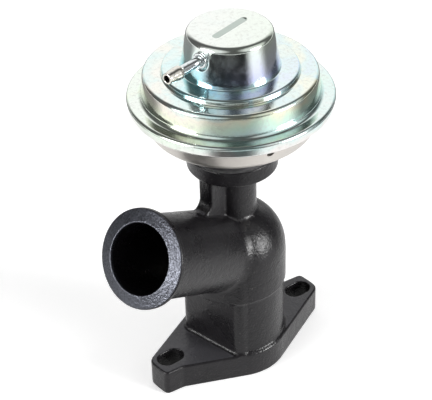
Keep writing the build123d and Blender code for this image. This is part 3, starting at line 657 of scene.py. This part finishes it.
def pressed_cup():
    """Lower half of the capsule, with its centre hole and the vent."""
    outside = [
        (CUP_CENTRE_HOLE_R, CUP_Z, 0),
        (CUP_FLOOR_R, CUP_Z, CUP_BEND_R),
        (CUP_SHOULDER_R, CUP_Z + CUP_SHOULDER_RISE, 2 * CUP_BEND_R),
        (CUP_MOUTH_R, CUP_FLANGE_Z, SHEET / 2),
        (CLAMP_R, CUP_FLANGE_Z, 0),
    ]
    line = divided(rounded(sheet_corners(outside, SHEET, 1)), lambda x, y: CUP_STEP)
    points, faces = lathe_points(line, CUP_SEGMENTS)
    piece = new_mesh("pressed_cup", points, faces)
    run, rise = CUP_MOUTH_R - CUP_SHOULDER_R, CUP_FLANGE_Z - CUP_Z - CUP_SHOULDER_RISE
    vent_r = CUP_SHOULDER_R + run * (VENT_RISE - CUP_SHOULDER_RISE) / rise
    turn = math.radians(VENT_AZIMUTH)
    outwards = np.array([math.sin(turn), -math.cos(turn), 0])
    axis = outwards * rise - UP * run
    centre = outwards * vent_r + UP * (CUP_Z + VENT_RISE)
    drilled(piece, "vent_drill", VENT_R, centre, axis / np.linalg.norm(axis), VENT_DRILL_REACH)
    sharp_edges(piece, 40)
    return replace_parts(piece, "lower_cup")


def nipple_tube():
    """Vacuum tube with one barb, from inside the cap's wall to its tip."""
    tip = COLLAR_THICKNESS + NIPPLE_LENGTH
    barb = tip - NIPPLE_BARB_LENGTH
    shoulder = NIPPLE_BARB_R - NIPPLE_R
    piece = lathe("nipple_tube", [
        (NIPPLE_BORE_R, -NIPPLE_ROOT_DEPTH, 0),
        (NIPPLE_R, -NIPPLE_ROOT_DEPTH, 0),
        (NIPPLE_R, barb - shoulder, NIPPLE_FLARE_R),
        (NIPPLE_BARB_R, barb, NIPPLE_BARB_EDGE_R),
        (NIPPLE_BARB_R, barb + 2 * shoulder, shoulder),
        (NIPPLE_TIP_R, tip, NIPPLE_TIP_EDGE_R),
        (NIPPLE_BORE_R, tip, NIPPLE_MOUTH_EDGE_R),
    ], SMALL_SEGMENTS, SMALL_STEP, NIPPLE, NIPPLE_ROOT)
    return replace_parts(piece, "vacuum_nipple")


def nipple_ring():
    """Collar round the tube's root."""
    piece = lathe("nipple_ring", [
        (NIPPLE_R, 0, 0),
        (COLLAR_R, 0, 0),
        (COLLAR_R, COLLAR_THICKNESS, COLLAR_THICKNESS / 3),
        (NIPPLE_R, COLLAR_THICKNESS, 0),
    ], SMALL_SEGMENTS, SMALL_STEP, NIPPLE, NIPPLE_ROOT)
    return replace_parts(piece, "nipple_collar")


def coil_spring():
    """Return spring: a round wire wound up the valve axis; the real one shortens as the valve
    lifts, this mesh keeps one length.
    """
    low = CUP_Z + SPRING_FOOT_RISE + SPRING_WIRE_R + SPRING_SEAT_GAP
    high = TOP_Z - 2 * SHEET - SPRING_WIRE_R - SPRING_SEAT_GAP
    rings, sides = SPRING_RINGS, SPRING_SIDES
    points = []
    for i in range(rings + 1):
        turn = 2 * math.pi * SPRING_TURNS * i / rings
        out = np.array([math.cos(turn), math.sin(turn), 0])
        centre = SPRING_R * out + UP * (low + (high - low) * i / rings)
        for k in range(sides):
            around = 2 * math.pi * k / sides
            points.append(centre + SPRING_WIRE_R * (math.cos(around) * out + math.sin(around) * UP))
    faces = [tuple(range(sides)), tuple(rings * sides + k for k in range(sides))[::-1]]
    for i in range(rings):
        for k in range(sides):
            m = (k + 1) % sides
            faces.append((i * sides + k, (i + 1) * sides + k, (i + 1) * sides + m, i * sides + m))
    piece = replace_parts(new_mesh("coil_spring", points, faces), "return_spring")
    sharp_edges(piece, 50)
    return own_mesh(piece)


def rubber_diaphragm():
    """Moulded diaphragm: flat between its plates, one deep slope, a thick clamped edge."""
    flat_z = CUP_Z + DIAPHRAGM_RISE
    corners = [
        (DIAPHRAGM_BORE_R, flat_z, 0),
        (DIAPHRAGM_TROUGH_R, flat_z, 2 * RUBBER),
        (CUP_MOUTH_R - RUBBER, CLAMP_Z, RUBBER),
        (CUP_MOUTH_R, CLAMP_Z, 0),
        (CLAMP_R, CLAMP_Z, 0),
    ]
    outline = sheet_corners(corners, RUBBER, 1)
    piece = lathe("rubber_diaphragm", outline, SMALL_SEGMENTS)
    sharp_edges(piece, 50)
    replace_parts(piece, "diaphragm")
    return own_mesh(piece)


# ---------------------------------------------------------------- materials
# Passivation film: height in mm above the rim's lower edge and colour, on the left and on the
# right; FILM_SIDES points from left to right
FILM_SIDES = (0.796, 0.605, 0.0)
FILM_BLEND = 12.0              # the sides blend this far to either side of the valve axis
FILM_LEFT = (
    (0.0, (0.80, 0.80, 0.77)),
    (4.6, (0.74, 0.84, 0.73)),
    (8.5, (0.80, 0.83, 0.66)),
    (12.0, (0.84, 0.80, 0.72)),
    (14.5, (0.60, 0.80, 0.78)),
    (17.5, (0.40, 0.78, 0.84)),
    (22.0, (0.64, 0.80, 0.78)),
    (30.5, (0.80, 0.82, 0.78)),
)
FILM_RIGHT = (
    (0.0, (0.80, 0.78, 0.76)),
    (4.6, (0.58, 0.78, 0.76)),
    (8.5, (0.62, 0.82, 0.68)),
    (12.0, (0.82, 0.82, 0.64)),
    (14.5, (0.56, 0.76, 0.78)),
    (17.5, (0.58, 0.62, 0.88)),
    (22.0, (0.66, 0.70, 0.82)),
    (30.5, (0.74, 0.82, 0.72)),
)
FILM_TOP_COLOR = (0.84, 0.86, 0.83)
FILM_HEIGHT = 30.5
FILM_WANDER = 3.0
STAIN_COLOR = (0.56, 0.57, 0.54)
# Painted shade: the key mark's floor is coloured darker
KEY_SHADE_COLOR = (0.47, 0.53, 0.49)
KEY_SHADE_REACH = 10.5               # the key's painted shade ends this far from the valve axis

# Casting
PAINT_COLORS = ((0.005, 0.0046, 0.0054), (0.009, 0.0081, 0.0095))
SPECK_COLOR = (0.075, 0.072, 0.070)
# Painted sheen: a lighter colour for faces that look up
UPWARD_SHEEN_COLOR = (0.058, 0.057, 0.063)
WORN_COLORS = ((0.045, 0.047, 0.055), (0.085, 0.089, 0.105))
PAINT_SPECULAR = 0.31
SPIGOT_END = ELBOW_Z * math.sin(SLOPE) + SPIGOT_FACE
TURNED_LENGTH = 22.0           # spigot behind its bead that shows tool lines

# Lower cup and nipple
CUP_COLORS = ((0.56, 0.53, 0.50), (0.64, 0.61, 0.57), (0.66, 0.65, 0.61))
CUP_STAIN_COLOR = (0.45, 0.42, 0.38)
TUBE_COLOR, BARB_COLOR = (0.72, 0.76, 0.77), (0.72, 0.70, 0.64)
TUBE_MARK_COLOR = (0.36, 0.38, 0.37)


def add(tree, kind, inputs=None, **settings):
    """New node; each input is a value or another node's output."""
    node = tree.nodes.new(kind)
    for name, value in settings.items():
        setattr(node, name, value)
    for name, value in (inputs or {}).items():
        if isinstance(value, bpy.types.NodeSocket):
            tree.links.new(value, node.inputs[name])
        else:
            node.inputs[name].default_value = value
    return node


def new_finish(name, metallic):
    """Material with its tree, its shader and its object coordinates."""
    finish = bpy.data.materials.new(name)
    finish.use_nodes = True
    tree = finish.node_tree
    shader = tree.nodes["Principled BSDF"]
    shader.inputs["Metallic"].default_value = metallic
    place = add(tree, "ShaderNodeTexCoord").outputs["Object"]
    return finish, tree, shader, place


def noise(tree, place, size_mm, detail=3.0, distortion=0.0):
    """Noise with features about this large, as a factor from 0 to 1."""
    scale = 1 / (size_mm * MM)
    inputs = {"Vector": place, "Scale": scale, "Detail": detail, "Distortion": distortion}
    return add(tree, "ShaderNodeTexNoise", inputs).outputs["Fac"]


def maths(tree, operation, a, b):
    """Result of a sum on two values or outputs."""
    node = add(tree, "ShaderNodeMath", operation=operation)
    for socket, value in zip(node.inputs, (a, b)):
        if isinstance(value, bpy.types.NodeSocket):
            tree.links.new(value, socket)
        else:
            socket.default_value = value
    return node.outputs[0]


def spread(tree, value, low, high, to_low=0.0, to_high=1.0):
    """The value's range low to high, smoothly mapped to another range."""
    inputs = {"Value": value, "From Min": low, "From Max": high}
    inputs |= {"To Min": to_low, "To Max": to_high}
    node = add(tree, "ShaderNodeMapRange", inputs, interpolation_type="SMOOTHSTEP")
    return node.outputs["Result"]


def ramp(tree, factor, stops):
    """Colour ramp from (position, colour) pairs."""
    node = add(tree, "ShaderNodeValToRGB", {"Fac": factor})
    elements = node.color_ramp.elements
    while len(elements) < len(stops):
        elements.new(0.5)
    for element, (position, color) in zip(elements, stops):
        element.position = position
        element.color = (*color, 1)
    return node.outputs["Color"]


def mixed(tree, factor, a, b):
    """Colour between a and b."""
    node = add(tree, "ShaderNodeMix", {"Factor": factor}, data_type="RGBA")
    for name, value in (("A", a), ("B", b)):
        socket = [found for found in node.inputs if found.name == name and found.type == "RGBA"][0]
        if isinstance(value, bpy.types.NodeSocket):
            tree.links.new(value, socket)
        else:
            socket.default_value = (*value, 1)
    return [found for found in node.outputs if found.type == "RGBA"][0]


def relief(tree, height, depth_mm, normal=None):
    """Normal of a relief this deep."""
    inputs = {"Height": height, "Distance": depth_mm * MM, "Strength": 1.0}
    if normal is not None:
        inputs["Normal"] = normal
    return add(tree, "ShaderNodeBump", inputs).outputs["Normal"]


def along(tree, place, direction, offset_mm=0.0):
    """Distance in metres along a direction, from offset_mm past the origin."""
    dot = add(tree, "ShaderNodeVectorMath", operation="DOT_PRODUCT")
    tree.links.new(place, dot.inputs[0])
    dot.inputs[1].default_value = tuple(float(part) for part in direction)
    return maths(tree, "SUBTRACT", dot.outputs["Value"], offset_mm * MM)


def turned_lines(tree, place):
    """Height of the fine tool lines round the spigot behind its bead."""
    reach = along(tree, place, SPIGOT, SPIGOT_END)
    line = add(tree, "ShaderNodeCombineXYZ", {"X": reach}).outputs["Vector"]
    near = spread(tree, reach, -TURNED_LENGTH * MM, -BEAD_BAND * MM)
    return maths(tree, "MULTIPLY", noise(tree, line, 0.8, 2), near)


def cast_paint():
    """Satin black paint on a sand casting, with a painted sheen that lightens faces looking up; the
    spigot's end face is machined and thinly painted.
    """
    finish, tree, shader, place = new_finish("cast_paint", 0.0)
    cloud = noise(tree, place, 14, 4)
    grain = noise(tree, place, 0.8, 4)
    skin = noise(tree, place, 3.0, 3)
    specks = spread(tree, noise(tree, place, 0.9, 2), 0.67, 0.76)
    black = ramp(tree, cloud, list(zip((0.3, 0.7), PAINT_COLORS)))
    black = mixed(tree, maths(tree, "MULTIPLY", specks, 0.6), black, SPECK_COLOR)
    facing = add(tree, "ShaderNodeTexCoord").outputs["Normal"]
    # Painted sheen: faces that look up are painted lighter, standing in for the light they catch
    upward_sheen = spread(tree, along(tree, facing, UP), 0.9, 1.0)
    black = mixed(tree, upward_sheen, black, UPWARD_SHEEN_COLOR)
    end_face = spread(tree, along(tree, place, SPIGOT, SPIGOT_END), -0.2 * MM, 0.15 * MM)
    worn = ramp(tree, noise(tree, place, 0.7, 4), list(zip((0.35, 0.65), WORN_COLORS)))
    tree.links.new(mixed(tree, end_face, black, worn), shader.inputs["Base Color"])
    tree.links.new(maths(tree, "MULTIPLY", end_face, 0.8), shader.inputs["Metallic"])
    tree.links.new(spread(tree, cloud, 0.3, 0.7, 0.24, 0.32), shader.inputs["Roughness"])
    coarse = relief(tree, skin, 0.18)
    turned = turned_lines(tree, place)
    fine = relief(tree, grain, 0.16, coarse)
    tree.links.new(relief(tree, turned, 0.08, fine), shader.inputs["Normal"])
    shader.inputs["Specular IOR Level"].default_value = PAINT_SPECULAR
    return finish


def key_floor_shade(tree, place, facing):
    """1 on the floor of the key mark, where its painted shade goes, 0 elsewhere."""
    off_axis = add(tree, "ShaderNodeVectorMath", {0: place, 1: (1, 1, 0)}, operation="MULTIPLY")
    off_axis = off_axis.outputs["Vector"]
    radius = add(tree, "ShaderNodeVectorMath", {0: off_axis}, operation="LENGTH").outputs["Value"]
    pressed = spread(tree, along(tree, place, UP, TOP_Z), -0.10 * MM, -0.02 * MM, 1, 0)
    inside = spread(tree, radius, KEY_SHADE_REACH * MM, (KEY_SHADE_REACH + 0.5) * MM, 1, 0)
    pressed = maths(tree, "MULTIPLY", pressed, inside)
    return maths(tree, "MULTIPLY", pressed, spread(tree, along(tree, facing, UP), 0.80, 0.95))


def passivated_zinc():
    """Bright zinc under a passivation film: teal, violet, olive and green in bands on the walls."""
    finish, tree, shader, place = new_finish("passivated_zinc", 1.0)
    wander = spread(tree, noise(tree, place, 16, 3, 0.8), 0.2, 0.8, -FILM_WANDER, FILM_WANDER)
    height = maths(tree, "DIVIDE", along(tree, place, UP, RIM_BOTTOM_Z), MM)
    height = maths(tree, "DIVIDE", maths(tree, "ADD", height, wander), FILM_HEIGHT)
    left, right = (ramp(tree, height, [(z / FILM_HEIGHT, color) for z, color in stops])
                   for stops in (FILM_LEFT, FILM_RIGHT))
    side = spread(tree, along(tree, place, FILM_SIDES), -FILM_BLEND * MM, FILM_BLEND * MM)
    film = mixed(tree, side, left, right)
    facing = add(tree, "ShaderNodeTexCoord").outputs["Normal"]
    flat = spread(tree, along(tree, facing, UP), 0.85, 0.99, 0, 0.5)
    film = mixed(tree, flat, film, FILM_TOP_COLOR)
    stains = spread(tree, noise(tree, place, 1.5, 5), 0.45, 0.8, 0.0, 0.45)
    film = mixed(tree, stains, film, STAIN_COLOR)
    # Painted shade on the key mark's floor
    film = mixed(tree, key_floor_shade(tree, place, facing), film, KEY_SHADE_COLOR)
    tree.links.new(film, shader.inputs["Base Color"])
    gloss = spread(tree, noise(tree, place, 4, 4), 0.3, 0.7, 0.07, 0.15)
    tree.links.new(gloss, shader.inputs["Roughness"])
    waves = relief(tree, noise(tree, place, 6, 3), 0.065)
    grain = relief(tree, noise(tree, place, 0.8, 2), 0.007, waves)
    tree.links.new(grain, shader.inputs["Normal"])
    return finish


def cup_zinc():
    """Warm, duller zinc on the lower cup."""
    finish, tree, shader, place = new_finish("cup_zinc", 1.0)
    cloud = noise(tree, place, 9, 5, 0.5)
    warm = ramp(tree, cloud, list(zip((0.3, 0.55, 0.75), CUP_COLORS)))
    stains = spread(tree, noise(tree, place, 1.2, 4), 0.6, 0.8, 0, 0.4)
    tree.links.new(mixed(tree, stains, warm, CUP_STAIN_COLOR), shader.inputs["Base Color"])
    tree.links.new(spread(tree, cloud, 0.3, 0.7, 0.28, 0.42), shader.inputs["Roughness"])
    tree.links.new(relief(tree, noise(tree, place, 0.7, 3), 0.008), shader.inputs["Normal"])
    return finish


def nipple_plating():
    """Bright plated tube, a little creamier on its barb."""
    finish, tree, shader, place = new_finish("nipple_plating", 1.0)
    nipple_start = float(NIPPLE_ROOT @ NIPPLE)
    barb = COLLAR_THICKNESS + NIPPLE_LENGTH - NIPPLE_BARB_LENGTH + nipple_start
    on_barb = spread(tree, along(tree, place, NIPPLE, barb), -1.5 * MM, 0.5 * MM)
    bright = mixed(tree, on_barb, TUBE_COLOR, BARB_COLOR)
    marks = spread(tree, noise(tree, place, 1.0, 4), 0.5, 0.75, 0, 0.75)
    tree.links.new(mixed(tree, marks, bright, TUBE_MARK_COLOR), shader.inputs["Base Color"])
    gloss = spread(tree, noise(tree, place, 1.5, 3), 0.3, 0.7, 0.06, 0.15)
    tree.links.new(gloss, shader.inputs["Roughness"])
    tree.links.new(relief(tree, noise(tree, place, 1.5, 2), 0.004), shader.inputs["Normal"])
    return finish


def worked_steel(name, light, dark, roughness, size_mm, depth_mm, metallic=1.0, turned=0.0):
    """Clouded metal or rubber; turned is the pitch in mm of tool marks round the valve axis."""
    finish, tree, shader, place = new_finish(name, metallic)
    cloud = noise(tree, place, size_mm, 5, 0.4)
    tree.links.new(ramp(tree, cloud, [(0.3, dark), (0.7, light)]), shader.inputs["Base Color"])
    patches = noise(tree, place, size_mm / 3, 3)
    gloss = spread(tree, patches, 0.3, 0.7, roughness - 0.07, roughness + 0.07)
    tree.links.new(gloss, shader.inputs["Roughness"])
    height = noise(tree, place, size_mm / 6, 3)
    if turned:
        inputs = {"Vector": place, "Scale": 1 / (turned * MM), "Distortion": 0.6}
        rings = add(tree, "ShaderNodeTexWave", inputs, wave_type="RINGS", rings_direction="Z")
        height = maths(tree, "ADD", height, rings.outputs["Fac"])
    tree.links.new(relief(tree, height, depth_mm), shader.inputs["Normal"])
    return finish


def dress(piece, finish):
    """The piece with this finish alone."""
    piece.data.materials.clear()
    piece.data.materials.append(finish)


BLACK_PAINT = cast_paint()
FILMED_ZINC = passivated_zinc()
WARM_ZINC = cup_zinc()
TUBE_PLATING = nipple_plating()
# Name, light and dark colour, roughness, size of the clouds and depth of the relief in mm
BLACK_RUBBER = worked_steel(
    "black_rubber", (0.035, 0.034, 0.033), (0.02, 0.02, 0.02), 0.55, 4, 0.02, metallic=0.0)
BURNISHED = worked_steel("pressed_steel", (0.62, 0.61, 0.58), (0.42, 0.41, 0.38), 0.34, 6, 0.006)
SPRING_WIRE = worked_steel("spring_wire", (0.36, 0.36, 0.37), (0.20, 0.19, 0.18), 0.32, 2, 0.006)
ZINC_SCREWS = worked_steel("screw_steel", (0.62, 0.62, 0.60), (0.42, 0.42, 0.40), 0.28, 2, 0.005)
GROUND_STEEL = worked_steel(
    "ground_steel", (0.56, 0.55, 0.52), (0.40, 0.36, 0.31), 0.24, 5, 0.003, turned=0.5)
SEAT_STEEL = worked_steel(
    "seat_steel", (0.44, 0.41, 0.38), (0.24, 0.19, 0.15), 0.36, 3, 0.006, turned=0.6)
BRONZE = worked_steel(
    "bush_bronze", (0.58, 0.41, 0.21), (0.34, 0.23, 0.12), 0.32, 3, 0.005, turned=0.6)
FIBRE = worked_steel(
    "gasket_fibre", (0.05, 0.05, 0.05), (0.015, 0.015, 0.015), 0.7, 1.5, 0.03, metallic=0.0)
DULLED_STEEL = worked_steel(
    "dulled_plate", (0.115, 0.112, 0.115), (0.06, 0.06, 0.062), 0.42, 3, 0.01)
NODE_FINISHES = {
    "valve_seat": SEAT_STEEL,
    "guide_bush": BRONZE,
    "neck_gasket": FIBRE,
    "mounting_plate": DULLED_STEEL,
    "stem_seal": BLACK_RUBBER,
    "seal_retainer": BURNISHED,
    "cup_screws": ZINC_SCREWS,
    "screw_washers": ZINC_SCREWS,
    "spring_top_seat": BURNISHED,
    "valve_stem": GROUND_STEEL,
    "valve_head": GROUND_STEEL,
    "heat_shield": BURNISHED,
    "lower_plate": BURNISHED,
    "spring_cup": BURNISHED,
    "stem_washer": ZINC_SCREWS,
    "stem_nut": ZINC_SCREWS,
}

for piece, slot, finish in (
    (cast_housing(), "black_casting", BLACK_PAINT),
    (pressed_cover(), "cover_plating", FILMED_ZINC),
    (pressed_cup(), "cup_plating", WARM_ZINC),
    (nipple_tube(), "nipple_steel", TUBE_PLATING),
    (nipple_ring(), "nipple_steel", TUBE_PLATING),
    (coil_spring(), "spring_steel", SPRING_WIRE),
    (rubber_diaphragm(), "black_rubber", BLACK_RUBBER),
):
    dress(piece, finish)
    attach(piece, "housing")
for node, finish in NODE_FINISHES.items():
    dress(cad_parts[node], finish)

# ---------------------------------------------------------------- camera
# Pinhole camera fitted to the outlines: focal length in pixels, and where the middle of the
# flange's upper face lies in the camera's own axes, in mm
CAMERA_FOCAL = 1499.0
CAMERA_PITCH = math.radians(35.98)
CAMERA_ROLL = math.radians(1.66)
CAMERA_AZIMUTH = math.radians(52.8)
CAMERA_SHIFT = np.array([8.0, -49.58, -609.14])
PHOTO_WIDTH = 432
SENSOR_WIDTH = 36.0
CLIP_START, CLIP_END = 0.01, 20.0  # metres


def photo_camera():
    """Camera fitted to the object's outlines in the photograph."""
    sin_a, cos_a = math.sin(CAMERA_AZIMUTH), math.cos(CAMERA_AZIMUTH)
    sin_e, cos_e = math.sin(CAMERA_PITCH), math.cos(CAMERA_PITCH)
    right = np.array([cos_a, sin_a, 0])
    back = np.array([sin_a * cos_e, -cos_a * cos_e, sin_e])
    turned = np.stack([right, np.cross(back, right), back])
    sin_r, cos_r = math.sin(CAMERA_ROLL), math.cos(CAMERA_ROLL)
    roll = np.array([[cos_r, -sin_r, 0], [sin_r, cos_r, 0], [0, 0, 1]])
    rows = roll @ turned
    place = -rows.T @ CAMERA_SHIFT + FLANGE_THICKNESS * UP
    data = bpy.data.cameras.new("photo_camera")
    data.sensor_width = SENSOR_WIDTH
    data.lens = SENSOR_WIDTH * CAMERA_FOCAL / PHOTO_WIDTH
    data.clip_start, data.clip_end = CLIP_START, CLIP_END
    camera = bpy.data.objects.new("photo_camera", data)
    turn = Matrix(rows.T.tolist()).to_4x4()
    camera.matrix_world = Matrix.Translation(Vector(place) * MM) @ turn
    bpy.context.scene.collection.objects.link(camera)
    bpy.context.scene.camera = camera


photo_camera()

# ---------------------------------------------------------------- floor and light
# Each sky light: azimuth, elevation, radius of its full strength and radius where it ends, all in
# degrees, how fast it fades between the two, strength
ROOM_LEVEL = 0.12
SKY_LIGHTS = (
    (232, 14, 26, 54, 1, 1.05),      # white backdrop
    (118, 32, 12, 40, 1, 0.85),      # large soft window on the right
    (119, 12, 0, 19, 4, 36.0),       # its lamp
    (8, 34, 12, 38, 1, 0.85),        # large soft window on the left
    (-6, 10, 0, 25, 4, 18.0),        # its lamp
)
WHITE = (1, 1, 1, 1)
FLOOR_COLOR = (0.92, 0.92, 0.92, 1)
FLOOR_ROUGHNESS = 0.9
FLOOR_HALF_WIDTH = 3  # metres
FLOOR_LIFT = 0.42
# Each part of the black cloth on the floor: azimuth, half width and soft edge in degrees, radii
# in mm between which it thickens, radius in mm where it ends, darkness
CLOTH_PARTS = (
    (53, 22, 12, 66, 96, 230, 0.90),         # before the rim and the lower cup
    (53, 28, 18, 230, 290, 1500, 0.62),      # before the drum
    (44, 50, 12, 360, 600, 1500, 1.0),       # before the cap
    (-84, 38, 12, 150, 240, 1500, 0.75),     # at the left
    (184, 50, 14, 160, 250, 1500, 0.82),     # at the right
    (-30, 10, 8, 170, 215, 300, 0.70),       # before the nipple's collar
)
CLOTH_COLOR = (0.03, 0.03, 0.03, 1)
CLOTH_INNER_R, CLOTH_OUTER_R, CLOTH_HEIGHT = 58.0, 1500.0, 1.0
CLOTH_SIDES = 72
CLOTH_FADE = 0.75  # share of its radius at which a part starts to end


def towards(azimuth, elevation=0.0):
    """Unit vector from the object towards this azimuth and elevation, in degrees."""
    turn, rise = math.radians(azimuth), math.radians(elevation)
    level = math.cos(rise)
    return (math.sin(turn) * level, -math.cos(turn) * level, math.sin(rise))


def studio_world():
    """Dim room with a white backdrop behind the object and a soft window on each side."""
    world = bpy.data.worlds.new("studio")
    world.use_nodes = True
    tree = world.node_tree
    direction = add(tree, "ShaderNodeTexCoord").outputs["Generated"]
    level = ROOM_LEVEL
    for azimuth, elevation, inner, outer, fade, strength in SKY_LIGHTS:
        facing = along(tree, direction, towards(azimuth, elevation))
        edge = math.cos(math.radians(outer)), math.cos(math.radians(inner))
        light = spread(tree, facing, *edge)
        light = maths(tree, "MULTIPLY", maths(tree, "POWER", light, fade), strength)
        level = maths(tree, "ADD", level, light)
    seen = add(tree, "ShaderNodeLightPath").outputs["Is Camera Ray"]
    level = maths(tree, "MAXIMUM", level, seen)
    tree.links.new(level, tree.nodes["Background"].inputs["Strength"])
    tree.nodes["Background"].inputs["Color"].default_value = WHITE
    bpy.context.scene.world = world


def stage_piece(name, points, faces, finish):
    """Piece of the studio, from points in metres."""
    mesh = bpy.data.meshes.new(name)
    mesh.from_pydata(points, [], faces)
    piece = bpy.data.objects.new(name, mesh)
    bpy.context.scene.collection.objects.link(piece)
    dress(piece, finish)
    return piece


def white_floor():
    """Plain white floor, lifted to paper white where it is seen."""
    finish, tree, shader, place = new_finish("white_floor", 0.0)
    shader.inputs["Base Color"].default_value = FLOOR_COLOR
    shader.inputs["Roughness"].default_value = FLOOR_ROUGHNESS
    path = add(tree, "ShaderNodeLightPath")
    seen = maths(tree, "MAXIMUM", path.outputs["Is Camera Ray"], path.outputs["Is Glossy Ray"])
    seen = maths(tree, "MAXIMUM", seen, path.outputs["Is Transmission Ray"])
    shader.inputs["Emission Color"].default_value = WHITE
    lift = maths(tree, "MULTIPLY", seen, FLOOR_LIFT)
    tree.links.new(lift, shader.inputs["Emission Strength"])
    half = FLOOR_HALF_WIDTH
    corners = [(-half, -half, 0), (half, -half, 0), (half, half, 0), (-half, half, 0)]
    stage_piece("white_floor", corners, [(0, 1, 2, 3)], finish)


def black_cloth():
    """Black cloth on the floor round the object, seen in reflections only, with soft edges."""
    finish, tree, shader, place = new_finish("black_cloth", 0.0)
    tree.nodes.remove(shader)
    distance = add(tree, "ShaderNodeVectorMath", {0: place}, operation="LENGTH").outputs["Value"]
    cover = 0.0
    for azimuth, half, soft, start, full, end, darkness in CLOTH_PARTS:
        facing = maths(tree, "DIVIDE", along(tree, place, towards(azimuth)), distance)
        edge = math.cos(math.radians(half + soft)), math.cos(math.radians(half - soft))
        near = spread(tree, distance, start * MM, full * MM, 0, darkness)
        far = spread(tree, distance, CLOTH_FADE * end * MM, end * MM, 1, 0)
        part = maths(tree, "MULTIPLY", near, far)
        part = maths(tree, "MULTIPLY", spread(tree, facing, *edge), part)
        cover = maths(tree, "MAXIMUM", cover, part)
    black = add(tree, "ShaderNodeBsdfDiffuse", {"Color": CLOTH_COLOR}).outputs[0]
    clear = add(tree, "ShaderNodeBsdfTransparent").outputs[0]
    blend = add(tree, "ShaderNodeMixShader", {0: cover, 1: clear, 2: black})
    tree.links.new(blend.outputs[0], tree.nodes["Material Output"].inputs["Surface"])
    sides = CLOTH_SIDES
    points = [(*(part * r * MM for part in towards(360 * k / sides)[:2]), CLOTH_HEIGHT * MM)
              for r in (CLOTH_INNER_R, CLOTH_OUTER_R) for k in range(sides)]
    faces = [(k, (k + 1) % sides, sides + (k + 1) % sides, sides + k) for k in range(sides)]
    cloth = stage_piece("black_cloth", points, faces, finish)
    for rays in ("camera", "diffuse", "transmission", "shadow"):
        setattr(cloth, "visible_" + rays, False)


studio_world()
white_floor()
black_cloth()
bpy.context.scene.view_settings.view_transform = "Standard"
